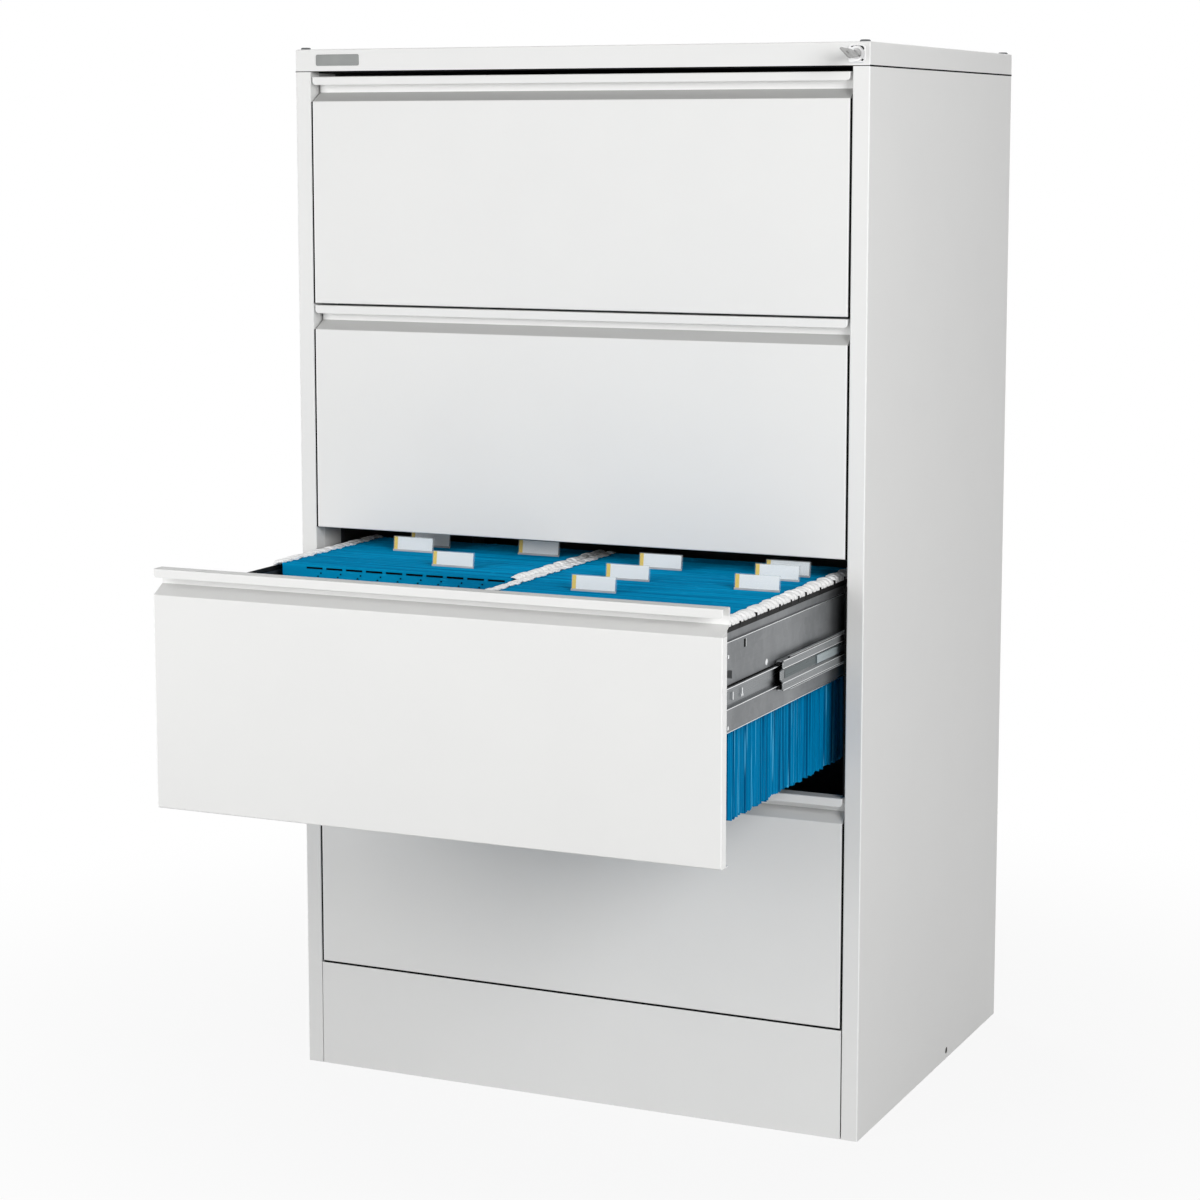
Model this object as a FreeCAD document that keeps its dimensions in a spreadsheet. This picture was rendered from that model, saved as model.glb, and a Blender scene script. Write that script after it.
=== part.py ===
import FreeCAD, Part
import math
import os

import Sketcher

# Filing cabinet for two rows of hanging folders: a folded sheet-steel carcass, four
# drawers on three-part slides, a lock in the cap that drops a bar in front of the
# drawers, and hanging folders in the third drawer, which stands pulled out.
# Origin: centre of the base, on the floor. X to the right, Y to the back, Z up. Millimetres.

DRAWERS = 4
FULL_DRAWER = DRAWERS - 1

# Driving dimensions: alias, value, meaning.
SIZES = [
    ("cab_width", 787, "outside width"),
    ("cab_depth", 590, "outside depth of the carcass"),
    ("cab_height", 1357, "outside height"),
    ("sheet_gauge", 1, "sheet of the carcass and the drawers"),
    ("bend_radius", 1.6, "outside radius of a fold"),
    ("cap_height", 29, "cap with the shadow line under it"),
    ("cap_shadow", 1, "shadow line under the cap"),
    ("plinth_height", 140, "plinth below the lowest drawer"),
    ("plinth_seam", 1, "seam between plinth and post"),
    ("post_width", 22, "front post of a side panel"),
    ("post_return", 25, "depth of a front post"),
    ("rear_flange", 15, "fold at the rear of a side panel"),
    ("side_flange", 20, "fold at the top and foot of a side panel"),
    ("hole_dia", 9, "fixing hole in a side panel"),
    ("hole_rear", 70, "fixing hole behind the middle of the side"),
    ("hole_height", 11, "fixing hole above the floor"),
    ("beam_depth", 18, "flange of a beam under the cap"),
    ("beam_setback", 37, "beam from the nearest outer face"),
    ("upright_width", 30, "slide upright, front to back"),
    ("upright_gauge", 1.5, "sheet of an upright"),
    ("upright_setback", 45, "front upright from the front plane"),
    ("upright_spacing", 450, "front upright to rear upright"),
    ("upright_inset", 0.3, "upright proud of the post's inner edge"),
    ("drawer_gap", 2.5, "gap between drawer fronts"),
    ("cap_front_gap", 6, "gap between the top front and the carcass top"),
    ("front_side_gap", 3, "gap between a front and a post"),
    ("grip_depth", 20, "depth of a drawer front and of its grip"),
    ("end_depth", 13, "depth of the folds at both ends of a front"),
    ("lip_height", 10.5, "lip of the grip"),
    ("grip_plate", 20, "upright rear wall of the grip"),
    ("grip_slant", 12, "rise of the slanted floor of the grip"),
    ("lip_corner", 4.5, "rounded end of the lip"),
    ("drawer_length", 510, "drawer side, front to back"),
    ("side_drop", 30, "hanging edge below the top of the front"),
    ("side_height", 118, "drawer side"),
    ("band_height", 15, "offset band along the top of a drawer side"),
    ("band_step", 3, "offset of that band"),
    ("side_fold", 12, "fold at the foot of a drawer side"),
    ("back_fold", 10, "fold along the top of a drawer back"),
    ("slot_width", 2.5, "slot near the front of a drawer side"),
    ("slot_height", 8, "height of that slot"),
    ("slot_setback", 76, "slot from the front of a drawer side"),
    ("rail_width", 12, "centre rail between the two rows"),
    ("rail_height", 14, "height of the centre rail"),
    ("slide_length", 500, "each slide member"),
    ("slide_setback", 27, "slide from the front plane, closed"),
    ("slide_rise", 41, "slide axis above the foot of a drawer side"),
    ("slide_thickness", 15.2, "three slide members together"),
    ("slide_gauge", 1.2, "sheet of a slide member"),
    ("inner_half", 12, "half height of the inner member"),
    ("inner_depth", 5.5, "flange of the inner member"),
    ("middle_half", 17.5, "half height of the middle member"),
    ("middle_start", 1.6, "lip of the middle member from the drawer side"),
    ("middle_end", 10.6, "web of the middle member from the drawer side"),
    ("middle_step", 3, "pressed step in the web of the middle member"),
    ("step_half", 5.6, "half height of that step"),
    ("outer_half", 21.5, "half height of the outer member"),
    ("outer_start", 5, "lip of the outer member from the drawer side"),
    ("middle_share", 0.58, "travel of the middle member for each unit of drawer travel"),
    ("running_gap", 0.35, "play between parts that slide or turn"),
    ("screw_head", 8, "head of a slide screw"),
    ("screw_head_height", 1.6, "height of that head"),
    ("screw_shank", 4, "shank of a slide screw"),
    ("screw_length", 6, "shank length"),
    ("screw_play", 0.2, "screw hole over the shank, all round"),
    ("plug_dia", 13, "plug in a corner of the cap"),
    ("plug_height", 2.5, "plug above the cap"),
    ("plug_stem", 7.4, "stem of a plug"),
    ("plug_stem_length", 7, "stem below the head"),
    ("plug_play", 0.3, "plug hole over the stem, all round"),
    ("plug_inset", 10, "plug from the edges of the cap"),
    ("badge_width", 63, "plain badge on the cap"),
    ("badge_height", 14.5, "height of the badge"),
    ("badge_gauge", 1, "thickness of the badge"),
    ("badge_corner", 2, "corner radius of the badge"),
    ("badge_inset", 30.7, "badge from the left side"),
    ("lock_inset", 16.5, "lock axis from the right side"),
    ("lock_drop", 14.4, "lock axis below the top"),
    ("plate_size", 21.5, "square plate around the lock"),
    ("plate_depth", 2.2, "thickness of that plate"),
    ("plate_corner", 4, "corner radius of that plate"),
    ("barrel_dia", 16, "lock barrel"),
    ("barrel_collar", 18, "collar of the barrel"),
    ("collar_depth", 1.8, "thickness of the collar"),
    ("barrel_play", 0.2, "hole over the barrel, all round"),
    ("barrel_clear", 2, "barrel to the cam"),
    ("nut_flats", 20, "nut on the barrel, across flats"),
    ("nut_height", 4, "height of that nut"),
    ("cylinder_dia", 12, "turning lock cylinder"),
    ("cylinder_proud", 0.3, "cylinder in front of the collar"),
    ("cam_gauge", 2, "cam plate"),
    ("cam_arm", 10, "cam pin from the lock axis"),
    ("cam_pin", 5, "cam pin"),
    ("cam_edge", 3.5, "cam plate beyond the pin's centre"),
    ("pin_beyond", 1.3, "cam pin beyond the bar"),
    ("keyway_depth", 23, "depth of the keyway"),
    ("key_play", 0.2, "key to keyway, all round"),
    ("key_blade", 7.4, "width of the blade"),
    ("key_gauge", 2, "thickness of the key"),
    ("key_neck", 12, "bow next to the lock"),
    ("key_bow", 18, "bow at its far end"),
    ("bow_start", 4, "bow from the lock's face"),
    ("bow_length", 38, "length of the bow"),
    ("bow_corner", 4, "corner radius of the bow"),
    ("bow_hole", 5, "hole in the bow"),
    ("key_turn", 45, "turn of the key from level, degrees"),
    ("bar_setback", 29.2, "lock bar from the front plane"),
    ("bar_gauge", 2, "thickness of the bar"),
    ("bar_inner", 1, "inner edge of the bar from the lock axis"),
    ("bar_outer", 14, "outer edge of the bar from the lock axis"),
    ("bar_top", 5.9, "top of the bar above the lock axis"),
    ("bar_foot", 42.5, "foot of the bar above the lowest front's foot"),
    ("pin_play", 0.6, "slot over the pin, each way"),
    ("finger_reach", 14, "finger of the bar towards the drawers"),
    ("finger_height", 12, "height of a finger"),
    ("catch_reach", 11, "catch out from the drawer side"),
    ("catch_height", 9, "height of a catch"),
    ("catch_gauge", 1.5, "thickness of a catch"),
    ("catch_play", 1, "catch to the bar and to a finger"),
    ("catch_rise", 3, "catch above the slide"),
    ("guide_height", 20, "guide of the bar"),
    ("guide_rise", 60, "guide above the foot of a front"),
    ("guide_wall", 1.2, "wall of a guide"),
    ("folder_gauge", 12, "thickness of a filled folder"),
    ("folder_play", 0.5, "one folder to the next"),
    ("folder_foot", 29, "foot of a folder above the foot of the front"),
    ("folder_rise", 6, "top of a folder above the hanging edge"),
    ("right_start", 8, "right row behind the drawer front"),
    ("left_start", 230, "left row behind the drawer front"),
    ("row_end", 15, "least room behind a row"),
    ("hook_reach", 14.5, "folder to the edge that it hangs on"),
    ("hook_gauge", 10, "hook at the end of a folder"),
    ("hook_rise", 9, "top of a hook above the hanging edge"),
    ("hook_over", 2, "hook past the hanging edge"),
    ("tab_width", 59, "label tab"),
    ("tab_height", 19, "height of a tab"),
    ("tab_gauge", 2, "thickness of a tab"),
    ("drawer_pull_1", 0, "first drawer pulled out by"),
    ("drawer_pull_2", 0, "second drawer pulled out by"),
    ("drawer_pull_3", 396, "third drawer pulled out by"),
    ("drawer_pull_4", 0, "fourth drawer pulled out by"),
]

# The side of each row and its label tabs: folder number and offset from the row's middle.
ROWS = {
    "left": {"sign": -1, "tabs": [(4, 57), (12, -53), (15, 111), (16, -54)]},
    "right": {
        "sign": 1,
        "tabs": [(13, -57), (20, 118), (21, -57), (27, 110), (29, -56), (30, 110)],
    },
}

# Two places closer than this are the same place.
TOUCH = 0.01

doc = FreeCAD.newDocument("filing_cabinet")
sheet = doc.addObject("Spreadsheet::Sheet", "sizes")
for row, (alias, size, meaning) in enumerate(SIZES, start=1):
    sheet.set(f"A{row}", meaning)
    sheet.set(f"B{row}", str(size))
    sheet.setAlias(f"B{row}", alias)
doc.recompute()

# Places that several pieces share, as expressions on the sheet.
GAUGE = "sizes.sheet_gauge"
GAP = "sizes.running_gap"
HALF_WIDTH = "(sizes.cab_width / 2)"
SKIN = f"({HALF_WIDTH} - {GAUGE})"
FRONT = "(-sizes.cab_depth / 2)"
REAR = "(sizes.cab_depth / 2)"
TOP = "sizes.cab_height"
SIDE_TOP = "(sizes.cab_height - sizes.cap_height)"
CAP_UNDERSIDE = f"({TOP} - {GAUGE})"
POST_EDGE = f"({HALF_WIDTH} - sizes.post_width)"
POST_REAR = f"({FRONT} + sizes.post_return)"
BACK_FACE = f"({REAR} - 2 * {GAUGE})"
UPRIGHT_FACE = f"({POST_EDGE} - sizes.upright_inset)"
UPRIGHT_FRONT = f"({FRONT} + sizes.upright_setback)"

# A drawer's pieces are drawn with z = 0 at the foot of its front.
FRONT_HALF = f"({POST_EDGE} - sizes.front_side_gap)"
FRONT_HEIGHT = (
    f"(({SIDE_TOP} - sizes.plinth_height - sizes.cap_front_gap) / {DRAWERS} - sizes.drawer_gap)"
)
GRIP_REAR = f"({FRONT} + sizes.grip_depth)"
DRAWER_START = f"({GRIP_REAR} + {GAUGE})"
DRAWER_END = f"({DRAWER_START} + sizes.drawer_length)"
SIDE_FACE = f"({UPRIGHT_FACE} - sizes.slide_thickness)"
HANG_EDGE = f"({FRONT_HEIGHT} - sizes.side_drop)"
SIDE_FOOT = f"({HANG_EDGE} - sizes.side_height)"
BAND_FOOT = f"({HANG_EDGE} - sizes.band_height)"
BAND_FACE = f"({SIDE_FACE} - sizes.band_step)"
SLIDE_AXIS = f"({SIDE_FOOT} + sizes.slide_rise)"
SLIDE_FRONT = f"({FRONT} + sizes.slide_setback)"
SLIDE_REAR = f"({SLIDE_FRONT} + sizes.slide_length)"
SCREW_PLACES = [
    f"({UPRIGHT_FRONT} + sizes.upright_width / 2)",
    f"({UPRIGHT_FRONT} + sizes.upright_width / 2 + sizes.upright_spacing)",
]
CATCH_FOOT = f"({SLIDE_AXIS} + sizes.outer_half + sizes.catch_rise)"
FINGER_FOOT = f"({CATCH_FOOT} + sizes.catch_height + sizes.catch_play)"

# The lock.
LOCK_X = f"({HALF_WIDTH} - sizes.lock_inset)"
LOCK_Z = f"({TOP} - sizes.lock_drop)"
BAR_FRONT = f"({FRONT} + sizes.bar_setback)"
BAR_REAR = f"({BAR_FRONT} + sizes.bar_gauge)"
BAR_INNER = f"({LOCK_X} - sizes.bar_inner)"
BAR_OUTER = f"({LOCK_X} + sizes.bar_outer)"
CAM_REAR = f"({BAR_FRONT} - {GAP})"
CAM_FRONT = f"({CAM_REAR} - sizes.cam_gauge)"
PLATE_FRONT = f"({FRONT} - sizes.plate_depth)"
COLLAR_FRONT = f"({PLATE_FRONT} - sizes.collar_depth)"
CYLINDER_FRONT = f"({COLLAR_FRONT} - sizes.cylinder_proud)"
KEYWAY_END = f"({CYLINDER_FRONT} + sizes.keyway_depth)"


def drawer_foot(number):
    """Height of the foot of a drawer's front; drawer 1 is the top one."""
    below = DRAWERS - number
    return f"(sizes.plinth_height + sizes.drawer_gap + {below} * ({FRONT_HEIGHT} + sizes.drawer_gap))"


def value(expression):
    """The number that an expression on the sheet gives."""
    return float(sheet.evalExpression(expression))


def new_body(label):
    """An empty body with the label that names its file."""
    body = doc.addObject("PartDesign::Body", label)
    body.Label = label
    return body


def new_sketch(body, plane, offset):
    """A sketch on one of the body's origin planes, moved along that plane's normal."""
    sketch = body.newObject("Sketcher::SketchObject", f"{body.Name}_sketch")
    support = next(f for f in body.Origin.OriginFeatures if f.Role == f"{plane}_Plane")
    sketch.AttachmentSupport = (support, [""])
    sketch.MapMode = "FlatFace"
    sketch.setExpression("AttachmentOffset.Base.z", offset)
    return sketch


def pin_point(sketch, geometry, place, point):
    """Hold one point of a sketch at a pair of expressions."""
    for kind, expression in zip(("DistanceX", "DistanceY"), point):
        rule = Sketcher.Constraint(kind, -1, 1, geometry, place, value(expression))
        sketch.setExpression(f"Constraints[{sketch.addConstraint(rule)}]", expression)


def add_outline(sketch, points):
    """A closed outline with straight sides, each corner at a pair of expressions."""
    corners = [FreeCAD.Vector(value(x), value(y), 0) for x, y in points]
    lines = [
        sketch.addGeometry(Part.LineSegment(start, corners[i + 1 - len(corners)]), False)
        for i, start in enumerate(corners)
    ]
    for i, line in enumerate(lines):
        follower = lines[i + 1 - len(lines)]
        sketch.addConstraint(Sketcher.Constraint("Coincident", line, 2, follower, 1))
    for line, point in zip(lines, points):
        pin_point(sketch, line, 1, point)


def add_circle(sketch, centre, diameter):
    """A circle whose centre and diameter are expressions."""
    middle = FreeCAD.Vector(value(centre[0]), value(centre[1]), 0)
    circle = Part.Circle(middle, FreeCAD.Vector(0, 0, 1), value(diameter) / 2)
    geometry = sketch.addGeometry(circle, False)
    pin_point(sketch, geometry, 3, centre)
    rule = Sketcher.Constraint("Diameter", geometry, value(diameter))
    sketch.setExpression(f"Constraints[{sketch.addConstraint(rule)}]", diameter)


def feature(body, kind, sketch, length, both_ways):
    """A pad or a pocket of a sketch."""
    item = body.newObject(f"PartDesign::{kind}", f"{body.Name}_{kind.lower()}")
    item.Profile = sketch
    item.Midplane = both_ways
    item.setExpression("Length", length)
    sketch.Visibility = False
    body.Tip = item
    return item


def pad(body, plane, length, outlines=(), circles=(), offset="0", both_ways=False):
    """Material of a given length along the plane's normal. XZ runs towards the front."""
    sketch = new_sketch(body, plane, offset)
    for points in outlines:
        add_outline(sketch, points)
    for centre, diameter in circles:
        add_circle(sketch, centre, diameter)
    return feature(body, "Pad", sketch, length, both_ways)


def cut(body, plane, length, outlines=(), circles=(), offset="0"):
    """Take away material, half of the length on each side of the plane."""
    sketch = new_sketch(body, plane, offset)
    for points in outlines:
        add_outline(sketch, points)
    for centre, diameter in circles:
        add_circle(sketch, centre, diameter)
    return feature(body, "Pocket", sketch, length, True)


def rectangle(x0, x1, y0, y1):
    """The corners of a rectangle between pairs of expressions."""
    return [(x0, y0), (x1, y0), (x1, y1), (x0, y1)]


def edges_at(shape, places):
    """Names of the straight edges whose two ends lie at one of the places."""
    wanted = [{axis: value(where) for axis, where in place.items()} for place in places]

    def lies_at(edge, place):
        ends = [vertex.Point for vertex in edge.Vertexes]
        return all(
            abs(getattr(end, axis) - where) < TOUCH for end in ends for axis, where in place.items()
        )

    return [
        f"Edge{i}"
        for i, edge in enumerate(shape.Edges, start=1)
        if len(edge.Vertexes) == 2 and any(lies_at(edge, place) for place in wanted)
    ]


def round_edges(body, radius, places):
    """Round the edges of the body's latest feature that lie at the places."""
    doc.recompute()
    base = body.Tip
    fillet = body.newObject("PartDesign::Fillet", f"{body.Name}_fillet")
    fillet.Base = (base, edges_at(base.Shape, places))
    fillet.setExpression("Radius", radius)
    body.Tip = fillet


def group(label, members):
    """One node made of separate solids."""
    node = doc.addObject("Part::Compound", label)
    node.Label = label
    node.Links = members
    return node


def mirror_image(item):
    """The same piece on the other side of the cabinet."""
    twin = doc.addObject("Part::Mirroring", f"{item.Name}_left")
    twin.Source = item
    twin.Normal = FreeCAD.Vector(1, 0, 0)
    return twin


def place(item, x="0", y="0", z="0"):
    """Bind the place of a node to expressions."""
    for axis, expression in zip("xyz", (x, y, z)):
        item.setExpression(f"Placement.Base.{axis}", expression)
    return item


def box(name, x, y, z):
    """A plain block between pairs of expressions."""
    block = doc.addObject("Part::Box", name)
    for size, (low, high) in zip(("Length", "Width", "Height"), (x, y, z)):
        block.setExpression(size, f"{high} - {low}")
    return place(block, x[0], y[0], z[0])


# Carcass


def side_panel(label, side):
    """Side sheet with its front post, rear fold, and folds at the top and the foot."""
    body = new_body(label)
    outer, skin = f"{side} * {HALF_WIDTH}", f"{side} * {SKIN}"
    post = f"{side} * {POST_EDGE}"
    post_inside = f"{side} * ({POST_EDGE} + {GAUGE})"
    rear_fold = f"{side} * ({HALF_WIDTH} - sizes.rear_flange)"
    fold = f"{side} * ({HALF_WIDTH} - sizes.side_flange)"
    profile = [
        (outer, FRONT),
        (outer, REAR),
        (rear_fold, REAR),
        (rear_fold, f"{REAR} - {GAUGE}"),
        (skin, f"{REAR} - {GAUGE}"),
        (skin, f"{FRONT} + {GAUGE}"),
        (post_inside, f"{FRONT} + {GAUGE}"),
        (post_inside, POST_REAR),
        (post, POST_REAR),
        (post, FRONT),
    ]
    pad(body, "XY", SIDE_TOP, [profile])
    bends = [{"x": outer, "y": FRONT}, {"x": post, "y": FRONT}, {"x": outer, "y": REAR}]
    round_edges(body, "sizes.bend_radius", bends)
    foot_fold = rectangle(skin, fold, f"{POST_REAR} + {GAUGE}", BACK_FACE)
    pad(body, "XY", GAUGE, [foot_fold], offset=GAUGE)
    top_fold = rectangle(skin, fold, f"{FRONT} + sizes.beam_setback", BACK_FACE)
    pad(body, "XY", GAUGE, [top_fold], offset=f"{SIDE_TOP} - {GAUGE}")
    hole = [(("sizes.hole_rear", "sizes.hole_height"), "sizes.hole_dia")]
    cut(body, "YZ", f"4 * {GAUGE}", circles=hole, offset=outer)
    return body


def back_panel():
    """Flat rear sheet inside the rear folds."""
    body = new_body("back_panel")
    sheet_outline = rectangle(f"-{SKIN}", SKIN, BACK_FACE, f"{BACK_FACE} + {GAUGE}")
    pad(body, "XY", CAP_UNDERSIDE, [sheet_outline])
    return body


def top_panel():
    """Cap: a pan with its rim turned down, holed for the lock and the corner plugs."""
    body = new_body("top_panel")
    foot = f"({SIDE_TOP} + sizes.cap_shadow)"
    pad(body, "XY", f"{TOP} - {foot}", [rectangle(f"-{HALF_WIDTH}", HALF_WIDTH, FRONT, REAR)], offset=foot)
    corners = [{"x": x, "y": y} for x in (HALF_WIDTH, f"-{HALF_WIDTH}") for y in (FRONT, REAR)]
    rims = [{"z": TOP, "y": FRONT}, {"z": TOP, "y": REAR}]
    rims += [{"z": TOP, "x": HALF_WIDTH}, {"z": TOP, "x": f"-{HALF_WIDTH}"}]
    round_edges(body, "sizes.bend_radius", corners + rims)
    inside = rectangle(f"-{SKIN}", SKIN, f"{FRONT} + {GAUGE}", f"{REAR} - {GAUGE}")
    cut(body, "XY", f"2 * ({CAP_UNDERSIDE} - {foot})", [inside], offset=foot)
    hole = "sizes.plug_stem + 2 * sizes.plug_play"
    cut(body, "XY", f"4 * {GAUGE}", circles=[(spot, hole) for spot in plug_places()], offset=TOP)
    lock_hole = [((LOCK_X, LOCK_Z), "sizes.barrel_dia + 2 * sizes.barrel_play")]
    cut(body, "XZ", f"4 * {GAUGE}", circles=lock_hole, offset=f"-{FRONT}")
    return body


def plug_places():
    """Plan places of the four corner plugs."""
    x, y = f"({HALF_WIDTH} - sizes.plug_inset)", f"({REAR} - sizes.plug_inset)"
    return [(f"{i} * {x}", f"{j} * {y}") for i in (-1, 1) for j in (-1, 1)]


def corner_plugs():
    """Four domed plugs in the corners of the cap."""
    body = new_body("corner_plugs")
    heads = [(spot, "sizes.plug_dia") for spot in plug_places()]
    pad(body, "XY", "sizes.plug_height", circles=heads, offset=TOP)
    stems = [(spot, "sizes.plug_stem") for spot in plug_places()]
    pad(body, "XY", "sizes.plug_stem_length", circles=stems, offset=f"{TOP} - sizes.plug_stem_length")
    doc.recompute()
    base = body.Tip
    crown = value(f"{TOP} + sizes.plug_height")
    rims = [
        f"Edge{i}"
        for i, edge in enumerate(base.Shape.Edges, start=1)
        if abs(edge.BoundBox.ZMin - crown) < TOUCH
    ]
    dome = body.newObject("PartDesign::Fillet", "plug_domes")
    dome.Base = (base, rims)
    dome.setExpression("Radius", "0.8 * sizes.plug_height")
    body.Tip = dome
    return body


def top_cross_beams():
    """Two channels on the side folds that carry the cap, open towards the middle."""
    beams = []
    for name, sign, face in (("front", 1, FRONT), ("rear", -1, REAR)):
        body = new_body(f"{name}_cross_beam")
        web = f"({face} + {sign} * sizes.beam_setback)"
        web_inside = f"({web} + {sign} * {GAUGE})"
        edge = f"({web} + {sign} * sizes.beam_depth)"
        profile = [
            (web, SIDE_TOP),
            (edge, SIDE_TOP),
            (edge, f"{SIDE_TOP} + {GAUGE}"),
            (web_inside, f"{SIDE_TOP} + {GAUGE}"),
            (web_inside, f"{CAP_UNDERSIDE} - {GAUGE}"),
            (edge, f"{CAP_UNDERSIDE} - {GAUGE}"),
            (edge, CAP_UNDERSIDE),
            (web, CAP_UNDERSIDE),
        ]
        pad(body, "YZ", f"2 * {SKIN}", [profile], both_ways=True)
        beams.append(body)
    return group("top_cross_beams", beams)


def plinth_panel():
    """Folded panel between the posts under the lowest drawer."""
    body = new_body("plinth_panel")
    skin = f"({FRONT} + {GAUGE})"
    height = "sizes.plinth_height"
    profile = [
        (FRONT, "0"),
        (FRONT, height),
        (POST_REAR, height),
        (POST_REAR, f"{height} - {GAUGE}"),
        (skin, f"{height} - {GAUGE}"),
        (skin, f"2 * {GAUGE}"),
        (POST_REAR, f"2 * {GAUGE}"),
        (POST_REAR, GAUGE),
        (skin, GAUGE),
        (skin, "0"),
    ]
    pad(body, "YZ", f"2 * ({POST_EDGE} - sizes.plinth_seam)", [profile], both_ways=True)
    round_edges(body, "sizes.bend_radius", [{"y": FRONT, "z": height}])
    return body


def base_panel():
    """Floor sheet under the side folds and the plinth, notched around the posts."""
    body = new_body("base_panel")
    inner = f"({POST_EDGE} - sizes.plinth_seam)"
    notch = f"({POST_REAR} + {GAUGE})"
    outline = [
        (f"-{inner}", f"{FRONT} + {GAUGE}"),
        (inner, f"{FRONT} + {GAUGE}"),
        (inner, notch),
        (SKIN, notch),
        (SKIN, BACK_FACE),
        (f"-{SKIN}", BACK_FACE),
        (f"-{SKIN}", notch),
        (f"-{inner}", notch),
    ]
    pad(body, "XY", GAUGE, [outline])
    return body


def slide_uprights():
    """Four channels on the side panels that carry the slides."""
    right = []
    for name, offset in (("front", "0"), ("rear", "sizes.upright_spacing")):
        body = new_body(f"{name}_upright")
        start = f"({UPRIGHT_FRONT} + {offset})"
        end = f"({start} + sizes.upright_width)"
        wall = "sizes.upright_gauge"
        profile = [
            (UPRIGHT_FACE, start),
            (UPRIGHT_FACE, end),
            (SKIN, end),
            (SKIN, f"{end} - {wall}"),
            (f"{UPRIGHT_FACE} + {wall}", f"{end} - {wall}"),
            (f"{UPRIGHT_FACE} + {wall}", f"{start} + {wall}"),
            (SKIN, f"{start} + {wall}"),
            (SKIN, start),
        ]
        pad(body, "XY", f"{SIDE_TOP} - 3 * {GAUGE}", [profile], offset=f"2 * {GAUGE}")
        middle = f"({start} + sizes.upright_width / 2)"
        holes = [
            ((middle, f"{drawer_foot(n)} + {SLIDE_AXIS}"), "sizes.screw_shank + 2 * sizes.screw_play")
            for n in range(1, DRAWERS + 1)
        ]
        cut(body, "YZ", f"4 * {wall}", circles=holes, offset=UPRIGHT_FACE)
        right.append(body)
    return group("slide_uprights", right + [mirror_image(body) for body in right])


def slide_screws():
    """Screws that hold the outer slide members on the uprights."""
    body = new_body("right_slide_screws")
    spots = [
        (y, f"{drawer_foot(n)} + {SLIDE_AXIS}") for n in range(1, DRAWERS + 1) for y in SCREW_PLACES
    ]
    seat = f"({UPRIGHT_FACE} - sizes.slide_gauge)"
    head = f"({seat} - sizes.screw_head_height)"
    pad(body, "YZ", "sizes.screw_head_height", circles=[(s, "sizes.screw_head") for s in spots], offset=head)
    pad(body, "YZ", "sizes.screw_length", circles=[(s, "sizes.screw_shank") for s in spots], offset=seat)
    return group("slide_screws", [body, mirror_image(body)])


def badge_plate():
    """Plain badge on the front of the cap."""
    body = new_body("badge_plate")
    left = f"(-{HALF_WIDTH} + sizes.badge_inset)"
    right = f"({left} + sizes.badge_width)"
    middle = f"({TOP} - (sizes.cap_height - sizes.cap_shadow) / 2)"
    foot, head = f"({middle} - sizes.badge_height / 2)", f"({middle} + sizes.badge_height / 2)"
    pad(body, "XZ", "sizes.badge_gauge", [rectangle(left, right, foot, head)], offset=f"-{FRONT}")
    corners = [{"x": x, "z": z} for x in (left, right) for z in (foot, head)]
    round_edges(body, "sizes.badge_corner", corners)
    return body


# Lock


def lock_plate():
    """Square plate with round corners around the lock."""
    body = new_body("lock_plate")
    half = "sizes.plate_size / 2"
    sides = [f"({LOCK_X} - {half})", f"({LOCK_X} + {half})"]
    ends = [f"({LOCK_Z} - {half})", f"({LOCK_Z} + {half})"]
    pad(body, "XZ", "sizes.plate_depth", [rectangle(*sides, *ends)], offset=f"-{FRONT}")
    round_edges(body, "sizes.plate_corner", [{"x": x, "z": z} for x in sides for z in ends])
    hole = [((LOCK_X, LOCK_Z), "sizes.barrel_dia + 2 * sizes.barrel_play")]
    cut(body, "XZ", "4 * sizes.plate_depth", circles=hole, offset=f"-{FRONT}")
    return body


def lock_barrel():
    """Fixed barrel with a collar in front of the plate."""
    body = new_body("lock_barrel")
    axis = (LOCK_X, LOCK_Z)
    bore = (axis, f"sizes.cylinder_dia + 2 * {GAP}")
    rear = f"({CAM_FRONT} - sizes.barrel_clear)"
    tube = [(axis, "sizes.barrel_dia"), bore]
    pad(body, "XZ", f"{rear} - {PLATE_FRONT}", circles=tube, offset=f"-{rear}")
    collar = [(axis, "sizes.barrel_collar"), bore]
    pad(body, "XZ", "sizes.collar_depth", circles=collar, offset=f"-{PLATE_FRONT}")
    return body


def lock_nut():
    """Hexagon nut behind the rim of the cap."""
    body = new_body("lock_nut")
    corner = f"(sizes.nut_flats / {2 * math.cos(math.pi / 6)})"
    turns = [math.pi / 3 * i for i in range(6)]
    hexagon = [
        (f"{LOCK_X} + {math.cos(t)} * {corner}", f"{LOCK_Z} + {math.sin(t)} * {corner}") for t in turns
    ]
    bore = [((LOCK_X, LOCK_Z), "sizes.barrel_dia + sizes.barrel_play")]
    rear = f"({FRONT} + {GAUGE} + sizes.nut_height)"
    pad(body, "XZ", "sizes.nut_height", [hexagon], bore, offset=f"-{rear}")
    return body


def turn_with_key(body):
    """Place a piece drawn around the Y axis on the lock axis, turned like the key."""
    body.Placement = FreeCAD.Placement(
        FreeCAD.Vector(0, 0, 0), FreeCAD.Rotation(FreeCAD.Vector(0, 1, 0), value("sizes.key_turn"))
    )
    body.setExpression("Placement.Rotation.Angle", "sizes.key_turn")
    return place(body, LOCK_X, "0", LOCK_Z)


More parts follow.
